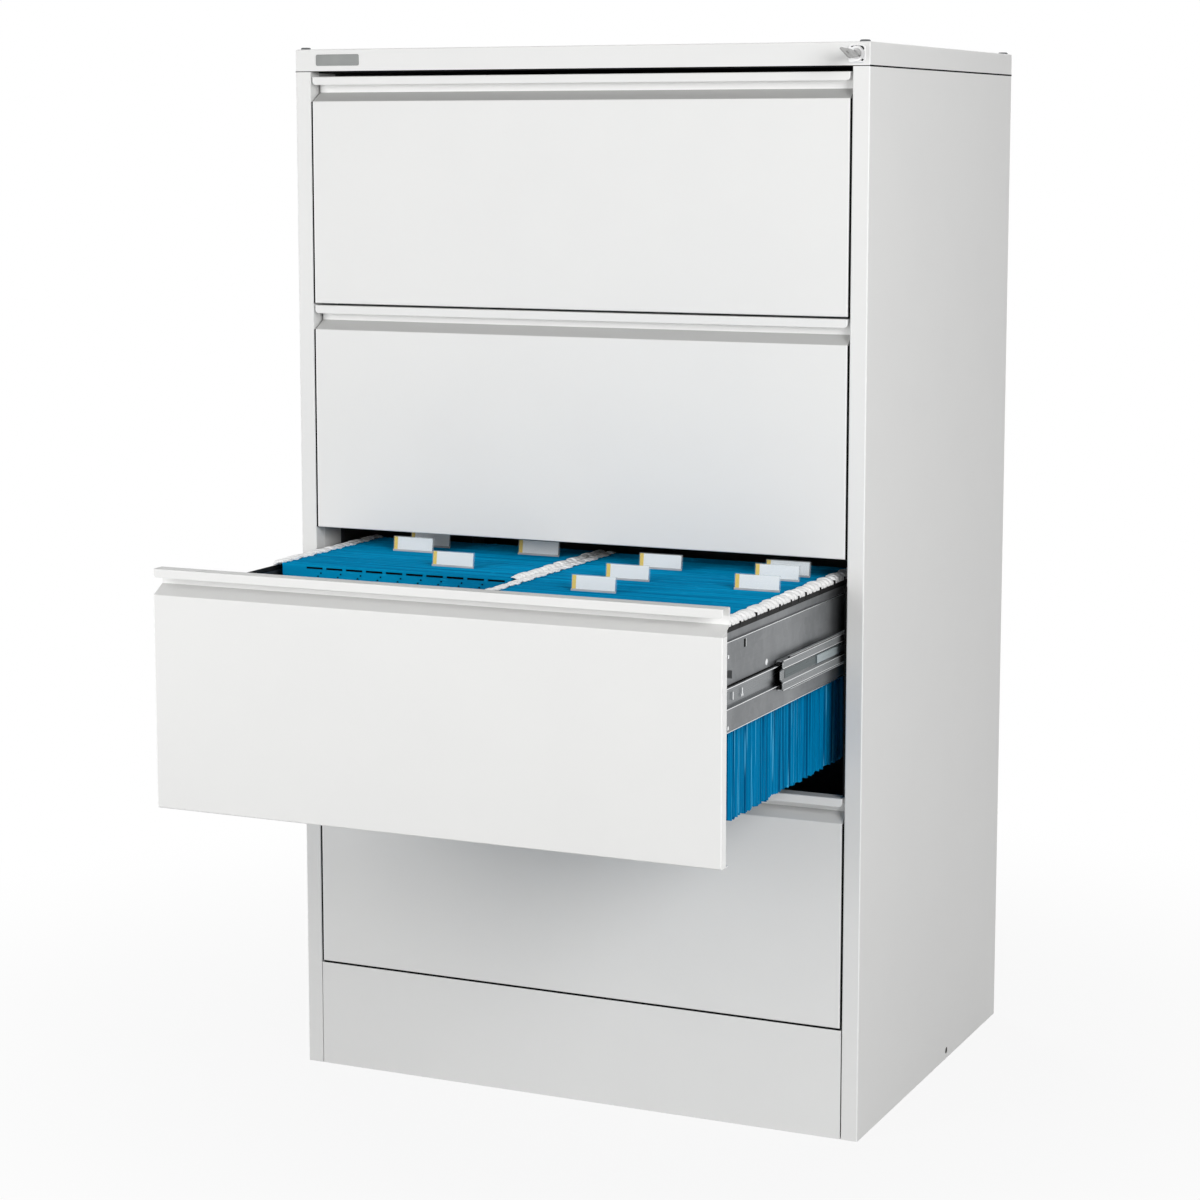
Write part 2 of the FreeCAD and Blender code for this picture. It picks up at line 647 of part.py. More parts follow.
def lock_cylinder():
    """Turning cylinder with the keyway."""
    body = new_body("lock_cylinder")
    length = f"{CAM_FRONT} - {CYLINDER_FRONT}"
    pad(body, "XZ", length, circles=[(("0", "0"), "sizes.cylinder_dia")], offset=f"-{CAM_FRONT}")
    half, wall = "(sizes.key_blade / 2 + sizes.key_play)", "(sizes.key_gauge / 2 + sizes.key_play)"
    keyway = rectangle(f"-{half}", half, f"-{wall}", wall)
    cut(body, "XZ", "2 * sizes.keyway_depth", [keyway], offset=f"-{CYLINDER_FRONT}")
    return turn_with_key(body)


def lock_cam():
    """Plate on the end of the cylinder with the pin that drives the bar."""
    body = new_body("lock_cam")
    reach = "(sizes.cam_arm + sizes.cam_edge)"
    half = "(sizes.cylinder_dia / 2)"
    arm = [
        (f"{LOCK_X} - {half}", f"{LOCK_Z} - {half}"),
        (LOCK_X, f"{LOCK_Z} - {half}"),
        (f"{LOCK_X} + {reach}", f"{LOCK_Z} - sizes.cam_edge"),
        (f"{LOCK_X} + {reach}", f"{LOCK_Z} + sizes.cam_edge"),
        (LOCK_X, f"{LOCK_Z} + {half}"),
        (f"{LOCK_X} - {half}", f"{LOCK_Z} + {half}"),
    ]
    pad(body, "XZ", "sizes.cam_gauge", [arm], offset=f"-{CAM_REAR}")
    pin_end = f"({BAR_REAR} + sizes.pin_beyond)"
    pin = [((f"{LOCK_X} + sizes.cam_arm", LOCK_Z), "sizes.cam_pin")]
    pad(body, "XZ", f"{pin_end} - {CAM_REAR}", circles=pin, offset=f"-{pin_end}")
    return body


def key():
    """Flat key in the lock, its bow widening outwards."""
    body = new_body("key")
    blade, neck, bow = "(sizes.key_blade / 2)", "(sizes.key_neck / 2)", "(sizes.key_bow / 2)"
    tip = f"({KEYWAY_END} - 1)"
    shoulder = f"({CYLINDER_FRONT} - sizes.bow_start)"
    end = f"({shoulder} - sizes.bow_length)"
    outline = [
        (f"-{blade}", tip),
        (blade, tip),
        (blade, shoulder),
        (neck, shoulder),
        (bow, end),
        (f"-{bow}", end),
        (f"-{neck}", shoulder),
        (f"-{blade}", shoulder),
    ]
    pad(body, "XY", "sizes.key_gauge", [outline], both_ways=True)
    round_edges(body, "sizes.bow_corner", [{"x": bow, "y": end}, {"x": f"-{bow}", "y": end}])
    hole = [(("0", f"{end} + 2 * sizes.bow_hole"), "sizes.bow_hole")]
    cut(body, "XY", "4 * sizes.key_gauge", circles=hole)
    return turn_with_key(body)


def lock_bar():
    """Upright bar behind the right post, with a slot for the cam pin."""
    body = new_body("lock_bar")
    foot = f"({drawer_foot(DRAWERS)} + sizes.bar_foot)"
    top = f"({LOCK_Z} + sizes.bar_top)"
    depth = "sizes.bar_gauge"
    pad(body, "XZ", depth, [rectangle(BAR_INNER, BAR_OUTER, foot, top)], offset=f"-{BAR_REAR}")
    half = "(sizes.cam_pin / 2 + sizes.pin_play)"
    nearest = f"({LOCK_X} + {math.cos(math.pi / 4)} * sizes.cam_arm - {half} + {GAP})"
    farthest = f"({LOCK_X} + sizes.cam_arm + {half} - {GAP})"
    slot = rectangle(nearest, farthest, f"{LOCK_Z} - {half}", f"{LOCK_Z} + {half}")
    cut(body, "XZ", f"4 * {depth}", [slot], offset=f"-{BAR_REAR}")
    return body


def lock_bar_fingers():
    """A finger per drawer on the edge of the lock bar, above the drawer's catch."""
    fingers = []
    for n in range(1, DRAWERS + 1):
        low = f"({drawer_foot(n)} + {FINGER_FOOT})"
        x = (f"({BAR_INNER} - sizes.finger_reach)", BAR_INNER)
        z = (low, f"({low} + sizes.finger_height)")
        fingers.append(box(f"lock_finger_{n}", x, (BAR_FRONT, BAR_REAR), z))
    return group("lock_bar_fingers", fingers)


def lock_bar_guides():
    """Two blocks on the front right upright that the bar slides in."""
    guides = []
    for n in (1, DRAWERS):
        body = new_body(f"bar_guide_{n}")
        wall = "sizes.guide_wall"
        left, right = f"({BAR_INNER} - {GAP})", f"({BAR_OUTER} + {GAP})"
        near, far = f"({BAR_FRONT} - {GAP})", f"({BAR_REAR} + {GAP})"
        outside = rectangle(f"{left} - {wall}", SKIN, f"{near} - {wall}", UPRIGHT_FRONT)
        channel = rectangle(left, right, near, far)
        foot = f"{drawer_foot(n)} + sizes.guide_rise"
        pad(body, "XY", "sizes.guide_height", [outside, channel], offset=foot)
        guides.append(body)
    return group("lock_bar_guides", guides)


# Drawers


def seat_drawer(node, number, share=1):
    """Put a node of a drawer at its height and pull it out with the drawer."""
    return place(node, "0", f"-{share} * sizes.drawer_pull_{number}", drawer_foot(number))


def drawer_front(number):
    """Folded front: lip, grip with a slanted floor, face, and folds at the foot and ends."""
    body = new_body(f"drawer_front_{number}")
    skin = f"({FRONT} + {GAUGE})"
    head = FRONT_HEIGHT
    plate_foot = f"({head} - sizes.grip_plate)"
    face_top = f"({plate_foot} - sizes.grip_slant)"
    lip_foot = f"({head} - sizes.lip_height)"
    # Height of the slanted sheet, measured upright, less what its fold takes up.
    slope = "atan(sizes.grip_slant / sizes.grip_depth)"
    fold_drop = f"({GAUGE} * (1 - sin({slope})) / cos({slope}))"
    profile = [
        (GRIP_REAR, "0"),
        (FRONT, "0"),
        (FRONT, face_top),
        (GRIP_REAR, plate_foot),
        (GRIP_REAR, f"{head} - {GAUGE}"),
        (skin, f"{head} - {GAUGE}"),
        (skin, lip_foot),
        (FRONT, lip_foot),
        (FRONT, head),
        (DRAWER_START, head),
        (DRAWER_START, f"{plate_foot} - {fold_drop}"),
        (skin, f"{face_top} - {fold_drop}"),
        (skin, GAUGE),
        (GRIP_REAR, GAUGE),
    ]
    pad(body, "YZ", f"2 * {FRONT_HALF}", [profile], both_ways=True)
    end_rear = f"({FRONT} + sizes.end_depth)"
    end_rise = f"((sizes.end_depth - {GAUGE}) * sizes.grip_slant / sizes.grip_depth)"
    end_fold = [
        (skin, GAUGE),
        (end_rear, GAUGE),
        (end_rear, f"{face_top} - {fold_drop} + {end_rise}"),
        (skin, f"{face_top} - {fold_drop}"),
    ]
    pad(body, "YZ", GAUGE, [end_fold], offset=f"{FRONT_HALF} - {GAUGE}")
    pad(body, "YZ", GAUGE, [end_fold], offset=f"-{FRONT_HALF}")
    ends = (FRONT_HALF, f"-{FRONT_HALF}")
    round_edges(body, "sizes.lip_corner", [{"x": x, "z": lip_foot} for x in ends])
    bends = [{"y": FRONT, "z": "0"}, {"y": FRONT, "z": face_top}, {"y": FRONT, "z": head}]
    bends += [{"y": DRAWER_START, "z": head}]
    round_edges(body, "sizes.bend_radius", bends)
    return seat_drawer(body, number)


def drawer_inner_panel(number):
    """Flat sheet that closes the rear of the front and carries the drawer sides."""
    body = new_body(f"drawer_inner_panel_{number}")
    head = f"({FRONT_HEIGHT} - sizes.grip_plate - 2 * {GAUGE})"
    half = f"({SIDE_FACE} + {GAUGE})"
    outline = rectangle(f"-{half}", half, GRIP_REAR, DRAWER_START)
    pad(body, "XY", head, [outline])
    return seat_drawer(body, number)


def drawer_side(label, number, side):
    """Drawer side with an offset hanging band on top and a fold at its foot."""
    body = new_body(f"{label}_{number}")

    def x(place_x):
        return f"{side} * {place_x}"

    face, skin = x(SIDE_FACE), x(f"({SIDE_FACE} - {GAUGE})")
    band, band_inside = x(BAND_FACE), x(f"({BAND_FACE} - {GAUGE})")
    fold = x(f"({SIDE_FACE} - sizes.side_fold)")
    profile = [
        (fold, SIDE_FOOT),
        (face, SIDE_FOOT),
        (face, BAND_FOOT),
        (band, BAND_FOOT),
        (band, HANG_EDGE),
        (band_inside, HANG_EDGE),
        (band_inside, f"{BAND_FOOT} - {GAUGE}"),
        (skin, f"{BAND_FOOT} - {GAUGE}"),
        (skin, f"{SIDE_FOOT} + {GAUGE}"),
        (fold, f"{SIDE_FOOT} + {GAUGE}"),
    ]
    pad(body, "XZ", "sizes.drawer_length", [profile], offset=f"-{DRAWER_END}")
    round_edges(body, "sizes.bend_radius", [{"x": face, "z": SIDE_FOOT}, {"x": face, "z": BAND_FOOT}])
    slot_front = f"({DRAWER_START} + sizes.slot_setback)"
    slot_foot = f"({BAND_FOOT} - 1.5 * sizes.slot_height)"
    slot = rectangle(
        slot_front, f"{slot_front} + sizes.slot_width", slot_foot, f"{slot_foot} + sizes.slot_height"
    )
    cut(body, "YZ", f"4 * {GAUGE}", [slot], offset=face)
    if side > 0:
        catch_front = f"({BAR_REAR} + sizes.catch_play)"
        catch = rectangle(
            SIDE_FACE,
            f"{SIDE_FACE} + sizes.catch_reach",
            catch_front,
            f"{catch_front} + sizes.catch_gauge",
        )
        pad(body, "XY", "sizes.catch_height", [catch], offset=CATCH_FOOT)
    return seat_drawer(body, number)


def drawer_back(number):
    """Rear sheet between the drawer sides, with a fold along its top."""
    body = new_body(f"drawer_back_{number}")
    skin = f"({DRAWER_END} - {GAUGE})"
    head = f"({BAND_FOOT} - {GAUGE})"
    foot = f"({SIDE_FOOT} + {GAUGE})"
    fold = f"({DRAWER_END} - sizes.back_fold)"
    profile = [
        (DRAWER_END, foot),
        (DRAWER_END, head),
        (fold, head),
        (fold, f"{head} - {GAUGE}"),
        (skin, f"{head} - {GAUGE}"),
        (skin, foot),
    ]
    pad(body, "YZ", f"2 * ({SIDE_FACE} - {GAUGE})", [profile], both_ways=True)
    return seat_drawer(body, number)


def centre_rail(number):
    """Channel from front to back between the two rows, on a post at the drawer back."""
    body = new_body(f"centre_rail_{number}")
    half = "(sizes.rail_width / 2)"
    inside = f"({half} - {GAUGE})"
    foot = f"({HANG_EDGE} - sizes.rail_height)"
    profile = [
        (f"-{half}", foot),
        (f"-{half}", HANG_EDGE),
        (half, HANG_EDGE),
        (half, foot),
        (inside, foot),
        (inside, f"{HANG_EDGE} - {GAUGE}"),
        (f"-{inside}", f"{HANG_EDGE} - {GAUGE}"),
        (f"-{inside}", foot),
    ]
    pad(body, "XZ", "sizes.drawer_length", [profile], offset=f"-{DRAWER_END}")
    back_head = f"({BAND_FOOT} - {GAUGE})"
    seat = rectangle(f"-{half}", half, f"{DRAWER_END} - {GAUGE}", DRAWER_END)
    pad(body, "XY", f"{HANG_EDGE} - {GAUGE} - {back_head}", [seat], offset=back_head)
    return seat_drawer(body, number)


def slide_profile(points):
    """Cross-section of a right-hand slide member from places across and above its axis."""
    return [(f"{SIDE_FACE} + {across}", f"{SLIDE_AXIS} + {above}") for across, above in points]


def both_halves(upper):
    """Points above the slide axis, then the same points below it in reverse."""
    return upper + [(across, f"-{above}") for across, above in reversed(upper)]


def slide_member(name, number, points, share, holes=()):
    """A pair of slide members of one cross-section, on both sides of a drawer."""
    body = new_body(f"{name}_{number}_right")
    pad(body, "XZ", "sizes.slide_length", [slide_profile(points)], offset=f"-{SLIDE_REAR}")
    if holes:
        circles = [((y, SLIDE_AXIS), "sizes.screw_shank + 2 * sizes.screw_play") for y in holes]
        cut(body, "YZ", "4 * sizes.slide_gauge", circles=circles, offset=UPRIGHT_FACE)
    pair = group(f"{name}_{number}", [body, mirror_image(body)])
    return seat_drawer(pair, number, share)


def slides(number):
    """Inner, middle and outer members of a drawer's slides."""
    wall = "sizes.slide_gauge"
    flange, half = "sizes.inner_depth", "sizes.inner_half"
    flange_inside = f"({half} - {wall})"
    inner = both_halves([("0", half), (flange, half), (flange, flange_inside), (wall, flange_inside)])
    start, end, half = "sizes.middle_start", "sizes.middle_end", "sizes.middle_half"
    lip = f"(sizes.inner_half + {GAP})"
    step, step_half = "sizes.middle_step", "sizes.step_half"
    shift = f"{math.tan(math.pi / 8)} * {wall}"
    outside = [
        (start, lip),
        (start, half),
        (end, half),
        (end, f"({step_half} + {step})"),
        (f"({end} - {step})", step_half),
    ]
    inside = [
        (f"({start} + {wall})", lip),
        (f"({start} + {wall})", f"({half} - {wall})"),
        (f"({end} - {wall})", f"({half} - {wall})"),
        (f"({end} - {wall})", f"({step_half} + {step} + {shift})"),
        (f"({end} - {step} - {wall})", f"({step_half} + {shift})"),
    ]
    middle = both_halves(outside) + list(reversed(both_halves(inside)))
    start, end, half = "sizes.outer_start", "sizes.slide_thickness", "sizes.outer_half"
    lip = f"(sizes.middle_half + {GAP})"
    outside = [(start, lip), (start, half), (end, half)]
    inside = [
        (f"({start} + {wall})", lip),
        (f"({start} + {wall})", f"({half} - {wall})"),
        (f"({end} - {wall})", f"({half} - {wall})"),
    ]
    outer = both_halves(outside) + list(reversed(both_halves(inside)))
    return [
        slide_member("slide_inner", number, inner, 1),
        slide_member("slide_middle", number, middle, "sizes.middle_share"),
        slide_member("slide_outer", number, outer, 0, SCREW_PLACES),
    ]


def drawer(number):
    """Every node of one drawer and its slides."""
    return [
        drawer_front(number),
        drawer_inner_panel(number),
        drawer_side("drawer_side_left", number, -1),
        drawer_side("drawer_side_right", number, 1),
        drawer_back(number),
        centre_rail(number),
        *slides(number),
    ]


# Hanging folders


def folder_row(name, row):
    """Folders of one row, their hooks and their label tabs, as three lists of blocks."""
    sign = row["sign"]
    rail_edge, band = "(sizes.rail_width / 2)", BAND_FACE
    middle = f"(({rail_edge} + {band}) / 2)"
    near, far = f"({rail_edge} + sizes.hook_reach)", f"({band} - sizes.hook_reach)"
    head = f"({HANG_EDGE} + sizes.folder_rise)"
    crest = f"({HANG_EDGE} + sizes.hook_rise)"
    foot = "sizes.folder_foot"
    pitch = "(sizes.folder_gauge + sizes.folder_play)"
    room = f"(sizes.drawer_length - sizes.{name}_start - sizes.row_end)"
    count = math.floor(value(f"{room} / {pitch}") + TOUCH)

    def span(low, high):
        return (low, high) if sign > 0 else (f"(-{high})", f"(-{low})")

    folders, hooks, tabs = [], [], []
    for i in range(count):
        start = f"({DRAWER_START} + sizes.{name}_start + {i} * {pitch})"
        end = f"({start} + sizes.folder_gauge)"
        mid = f"({start} + sizes.folder_gauge / 2)"
        folders.append(box(f"folder_{name}_{i}", span(near, far), (start, end), (foot, head)))
        hook_y = (f"({mid} - sizes.hook_gauge / 2)", f"({mid} + sizes.hook_gauge / 2)")
        rail_end = f"({rail_edge} - sizes.rail_width / 2 + sizes.hook_over)"
        for part, x in (("in", (rail_end, near)), ("out", (far, f"({band} + sizes.hook_over)"))):
            hooks.append(box(f"hook_{name}_{i}_{part}", span(*x), hook_y, (HANG_EDGE, crest)))
        for number, offset in row["tabs"]:
            if number == i:
                x = f"({sign} * {middle} + {offset})"
                tab_x = (f"({x} - sizes.tab_width / 2)", f"({x} + sizes.tab_width / 2)")
                tab_y = (f"({mid} - sizes.tab_gauge / 2)", f"({mid} + sizes.tab_gauge / 2)")
                tab_z = (head, f"({head} + sizes.tab_height)")
                tabs.append(box(f"tab_{name}_{i}", tab_x, tab_y, tab_z))
    return folders, hooks, tabs


def hanging_folders(number):
    """The folders in the pulled-out drawer."""
    nodes, hooks, tabs = [], [], []
    for name, row in ROWS.items():
        folders, row_hooks, row_tabs = folder_row(name, row)
        nodes.append(group(f"folders_{name}", folders))
        hooks += row_hooks
        tabs += row_tabs
    nodes += [group("folder_hooks", hooks), group("label_tabs", tabs)]
    return [seat_drawer(node, number) for node in nodes]


def cabinet():
    """Every node of the cabinet."""
    nodes = [
        side_panel("side_panel_left", -1),
        side_panel("side_panel_right", 1),
        back_panel(),
        top_panel(),
        corner_plugs(),
        top_cross_beams(),
        plinth_panel(),
        base_panel(),
        slide_uprights(),
        slide_screws(),
        badge_plate(),
        lock_plate(),
        lock_barrel(),
        lock_nut(),
        lock_cylinder(),
        lock_cam(),
        key(),
        lock_bar(),
        lock_bar_fingers(),
        lock_bar_guides(),
    ]
    for number in range(1, DRAWERS + 1):
        nodes += drawer(number)
    return nodes + hanging_folders(FULL_DRAWER)


nodes = cabinet()
doc.recompute()
for item in doc.Objects:
    if "Invalid" in item.State or "Error" in item.State:
        raise RuntimeError(f"{item.Label} did not recompute")
os.makedirs("parts", exist_ok=True)
for node in nodes:
    if node.Shape.isNull() or not node.Shape.isValid():
        raise RuntimeError(f"{node.Label} has no valid shape")
    node.Shape.exportStep(f"parts/{node.Label}.step")
print(f"{len(nodes)} nodes")
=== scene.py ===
"""Looks of a four-drawer filing cabinet with hanging folders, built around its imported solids."""

import logging
import math
from collections.abc import Mapping, Sequence
from dataclasses import dataclass
from enum import Enum

import bmesh
import bpy
import numpy as np
from numpy.typing import ArrayLike
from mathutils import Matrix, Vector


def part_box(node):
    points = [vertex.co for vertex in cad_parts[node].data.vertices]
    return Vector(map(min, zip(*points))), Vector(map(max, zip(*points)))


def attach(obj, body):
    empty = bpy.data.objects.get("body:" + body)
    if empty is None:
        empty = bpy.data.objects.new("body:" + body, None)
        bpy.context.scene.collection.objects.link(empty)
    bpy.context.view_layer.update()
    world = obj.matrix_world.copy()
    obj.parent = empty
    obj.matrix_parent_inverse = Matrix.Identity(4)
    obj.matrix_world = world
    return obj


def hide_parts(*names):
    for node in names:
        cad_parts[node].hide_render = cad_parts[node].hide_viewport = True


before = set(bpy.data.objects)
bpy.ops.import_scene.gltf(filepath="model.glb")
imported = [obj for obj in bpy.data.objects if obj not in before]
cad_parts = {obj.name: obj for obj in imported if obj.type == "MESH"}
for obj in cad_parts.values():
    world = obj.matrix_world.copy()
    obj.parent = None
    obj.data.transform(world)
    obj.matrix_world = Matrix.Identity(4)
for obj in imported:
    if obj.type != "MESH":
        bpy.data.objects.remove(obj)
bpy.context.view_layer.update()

LOG = logging.getLogger("filing_cabinet")
Pair = tuple[float, float]
Point = tuple[float, float, float]
Colour = tuple[float, float, float]

MM = 0.001
DRAWERS = (1, 2, 3, 4)
FULL_DRAWER = 3
FULL_BODY = f"drawer_{FULL_DRAWER}"
SHARP_ANGLE = math.radians(40.0)
ROUND_SIDES = 8
PIP_SIDES = 12
PIP_RINGS = 4
PIP_LIFT = 0.45 * np.pi
WHITE = (1.0, 1.0, 1.0)


class Side(Enum):
    """The two sides of the cabinet, as the sign of X."""

    LEFT = -1
    RIGHT = 1


# Label tabs: the row, the folder's number in it and the offset from the row's middle in millimetres.
TAB_PLACES = (
    (Side.LEFT, 4, 57.0),
    (Side.LEFT, 12, -53.0),
    (Side.LEFT, 15, 111.0),
    (Side.LEFT, 16, -54.0),
    (Side.RIGHT, 13, -57.0),
    (Side.RIGHT, 20, 118.0),
    (Side.RIGHT, 21, -57.0),
    (Side.RIGHT, 27, 110.0),
    (Side.RIGHT, 29, -56.0),
    (Side.RIGHT, 30, 110.0),
)


# Shader wiring


class Wire:
    """A shader socket that answers to arithmetic: each operation adds a Math node."""

    def __init__(self, sheet: "ShaderSheet", socket: bpy.types.NodeSocket) -> None:
        """Keep the socket and the sheet that it belongs to."""
        self.sheet = sheet
        self.socket = socket

    def math(self, operation: str, *terms: "Wire | float") -> "Wire":
        """The result of a Math node on wires or numbers, in their order."""
        return self.sheet.add("ShaderNodeMath", {"operation": operation}, dict(enumerate(terms)))

    def __add__(self, other: "Wire | float") -> "Wire":
        """This plus another."""
        return self.math("ADD", self, other)

    def __radd__(self, other: float) -> "Wire":
        """A number plus this."""
        return self.math("ADD", other, self)

    def __sub__(self, other: "Wire | float") -> "Wire":
        """This less another."""
        return self.math("SUBTRACT", self, other)

    def __rsub__(self, other: float) -> "Wire":
        """A number less this."""
        return self.math("SUBTRACT", other, self)

    def __mul__(self, other: "Wire | float") -> "Wire":
        """This times another."""
        return self.math("MULTIPLY", self, other)

    def __rmul__(self, other: float) -> "Wire":
        """A number times this."""
        return self.math("MULTIPLY", other, self)

    def __gt__(self, other: "Wire | float") -> "Wire":
        """One where this is greater, else nought."""
        return self.math("GREATER_THAN", self, other)

    def __lt__(self, other: "Wire | float") -> "Wire":
        """One where this is less, else nought."""
        return self.math("LESS_THAN", self, other)

    def absolute(self) -> "Wire":
        """This without its sign."""
        return self.math("ABSOLUTE", self)

    def larger(self, other: "Wire | float") -> "Wire":
        """The larger of this and another."""
        return self.math("MAXIMUM", self, other)

    def ramp(self, low: float, high: float) -> "Wire":
        """A smooth step from nought at low to one at high."""
        span = {"Value": self, "From Min": low, "From Max": high}
        return self.sheet.add("ShaderNodeMapRange", {"interpolation_type": "SMOOTHSTEP"}, span)

    def other(self, output: str) -> "Wire":
        """Another output of the same node."""
        return Wire(self.sheet, self.socket.node.outputs[output])


class ShaderSheet:
    """The node tree of one material or of the world."""

    def __init__(self, tree: bpy.types.NodeTree) -> None:
        """Start with an empty tree."""
        self.tree = tree
        tree.nodes.clear()

    def add(
        self,
        kind: str,
        settings: Mapping[str, object] | None = None,
        sockets: Mapping[str | int, object] | None = None,
        output: str | int = 0,
    ) -> Wire:
        """Add any node.

        Args:
            kind: The node's type.
            settings: Its properties, set first.
            sockets: Values or wires of its inputs.
            output: The output to give back.

        Returns:
            The wire of that output, or of the first input where a node has no outputs.
        """
        node = self.tree.nodes.new(kind)
        for name, value in (settings or {}).items():
            setattr(node, name, value)
        for name, value in (sockets or {}).items():
            self._feed(node.inputs[name], value)
        return Wire(self, node.outputs[output] if node.outputs else node.inputs[0])

    def _feed(self, socket: bpy.types.NodeSocket, value: object) -> None:
        """Link a wire to a socket, or set its value.

        Args:
            socket: The input.
            value: A wire, a number, a vector or a colour.
        """
        if isinstance(value, Wire):
            self.tree.links.new(value.socket, socket)
        elif socket.type == "RGBA":
            socket.default_value = (*value, 1.0)
        else:
            socket.default_value = value

    def place(self) -> Wire:
        """Object coordinates, in metres."""
        return self.add("ShaderNodeTexCoord", output="Object")

    def axes(self, place: Wire) -> tuple[Wire, Wire, Wire]:
        """The three parts of a vector."""
        split = self.add("ShaderNodeSeparateXYZ", sockets={0: place}, output="X")
        return split, split.other("Y"), split.other("Z")

    def stretched(self, place: Wire, scale: Point) -> Wire:
        """A place with each axis scaled by itself."""
        return self.add("ShaderNodeVectorMath", {"operation": "MULTIPLY"}, {0: place, 1: scale})

    def noise(self, place: Wire, scale: float = 1.0, detail: float = 2.0) -> Wire:
        """Smooth noise from nought to one."""
        return self.add("ShaderNodeTexNoise", sockets={"Vector": place, "Scale": scale, "Detail": detail})

    def mixed(self, factor: Wire, first: object, second: object) -> Wire:
        """A colour between two others."""
        sockets = {0: factor, 6: first, 7: second}
        return self.add("ShaderNodeMix", {"data_type": "RGBA"}, sockets, output=2)

    def bump(self, height: Wire, strength: float, distance: float) -> Wire:
        """A normal bent by a height."""
        sockets = {"Height": height, "Strength": strength, "Distance": distance}
        return self.add("ShaderNodeBump", sockets=sockets)

    def surface(self, **sockets: object) -> Wire:
        """A Principled shader; underscores in names stand for spaces."""
        named = {name.replace("_", " "): value for name, value in sockets.items()}
        return self.add("ShaderNodeBsdfPrincipled", sockets=named)

    def finish(self, shader: Wire) -> None:
        """Link a shader to the material's output."""
        self.add("ShaderNodeOutputMaterial", sockets={"Surface": shader})


# Finishes


class Finish:
    """A surface finish that becomes one material, made the first time it is asked for."""

    name: str
    slot: str

    def dress(self, sheet: ShaderSheet) -> Wire:
        """The shader of this finish, made on a sheet."""
        raise NotImplementedError

    def material(self) -> bpy.types.Material:
        """Find this finish's material, or make it.

        Returns:
            The material.
        """
        known = bpy.data.materials.get(self.name)
        if known:
            return known
        made = bpy.data.materials.new(self.name)
        made.use_nodes = True
        sheet = ShaderSheet(made.node_tree)
        sheet.finish(self.dress(sheet))
        return made


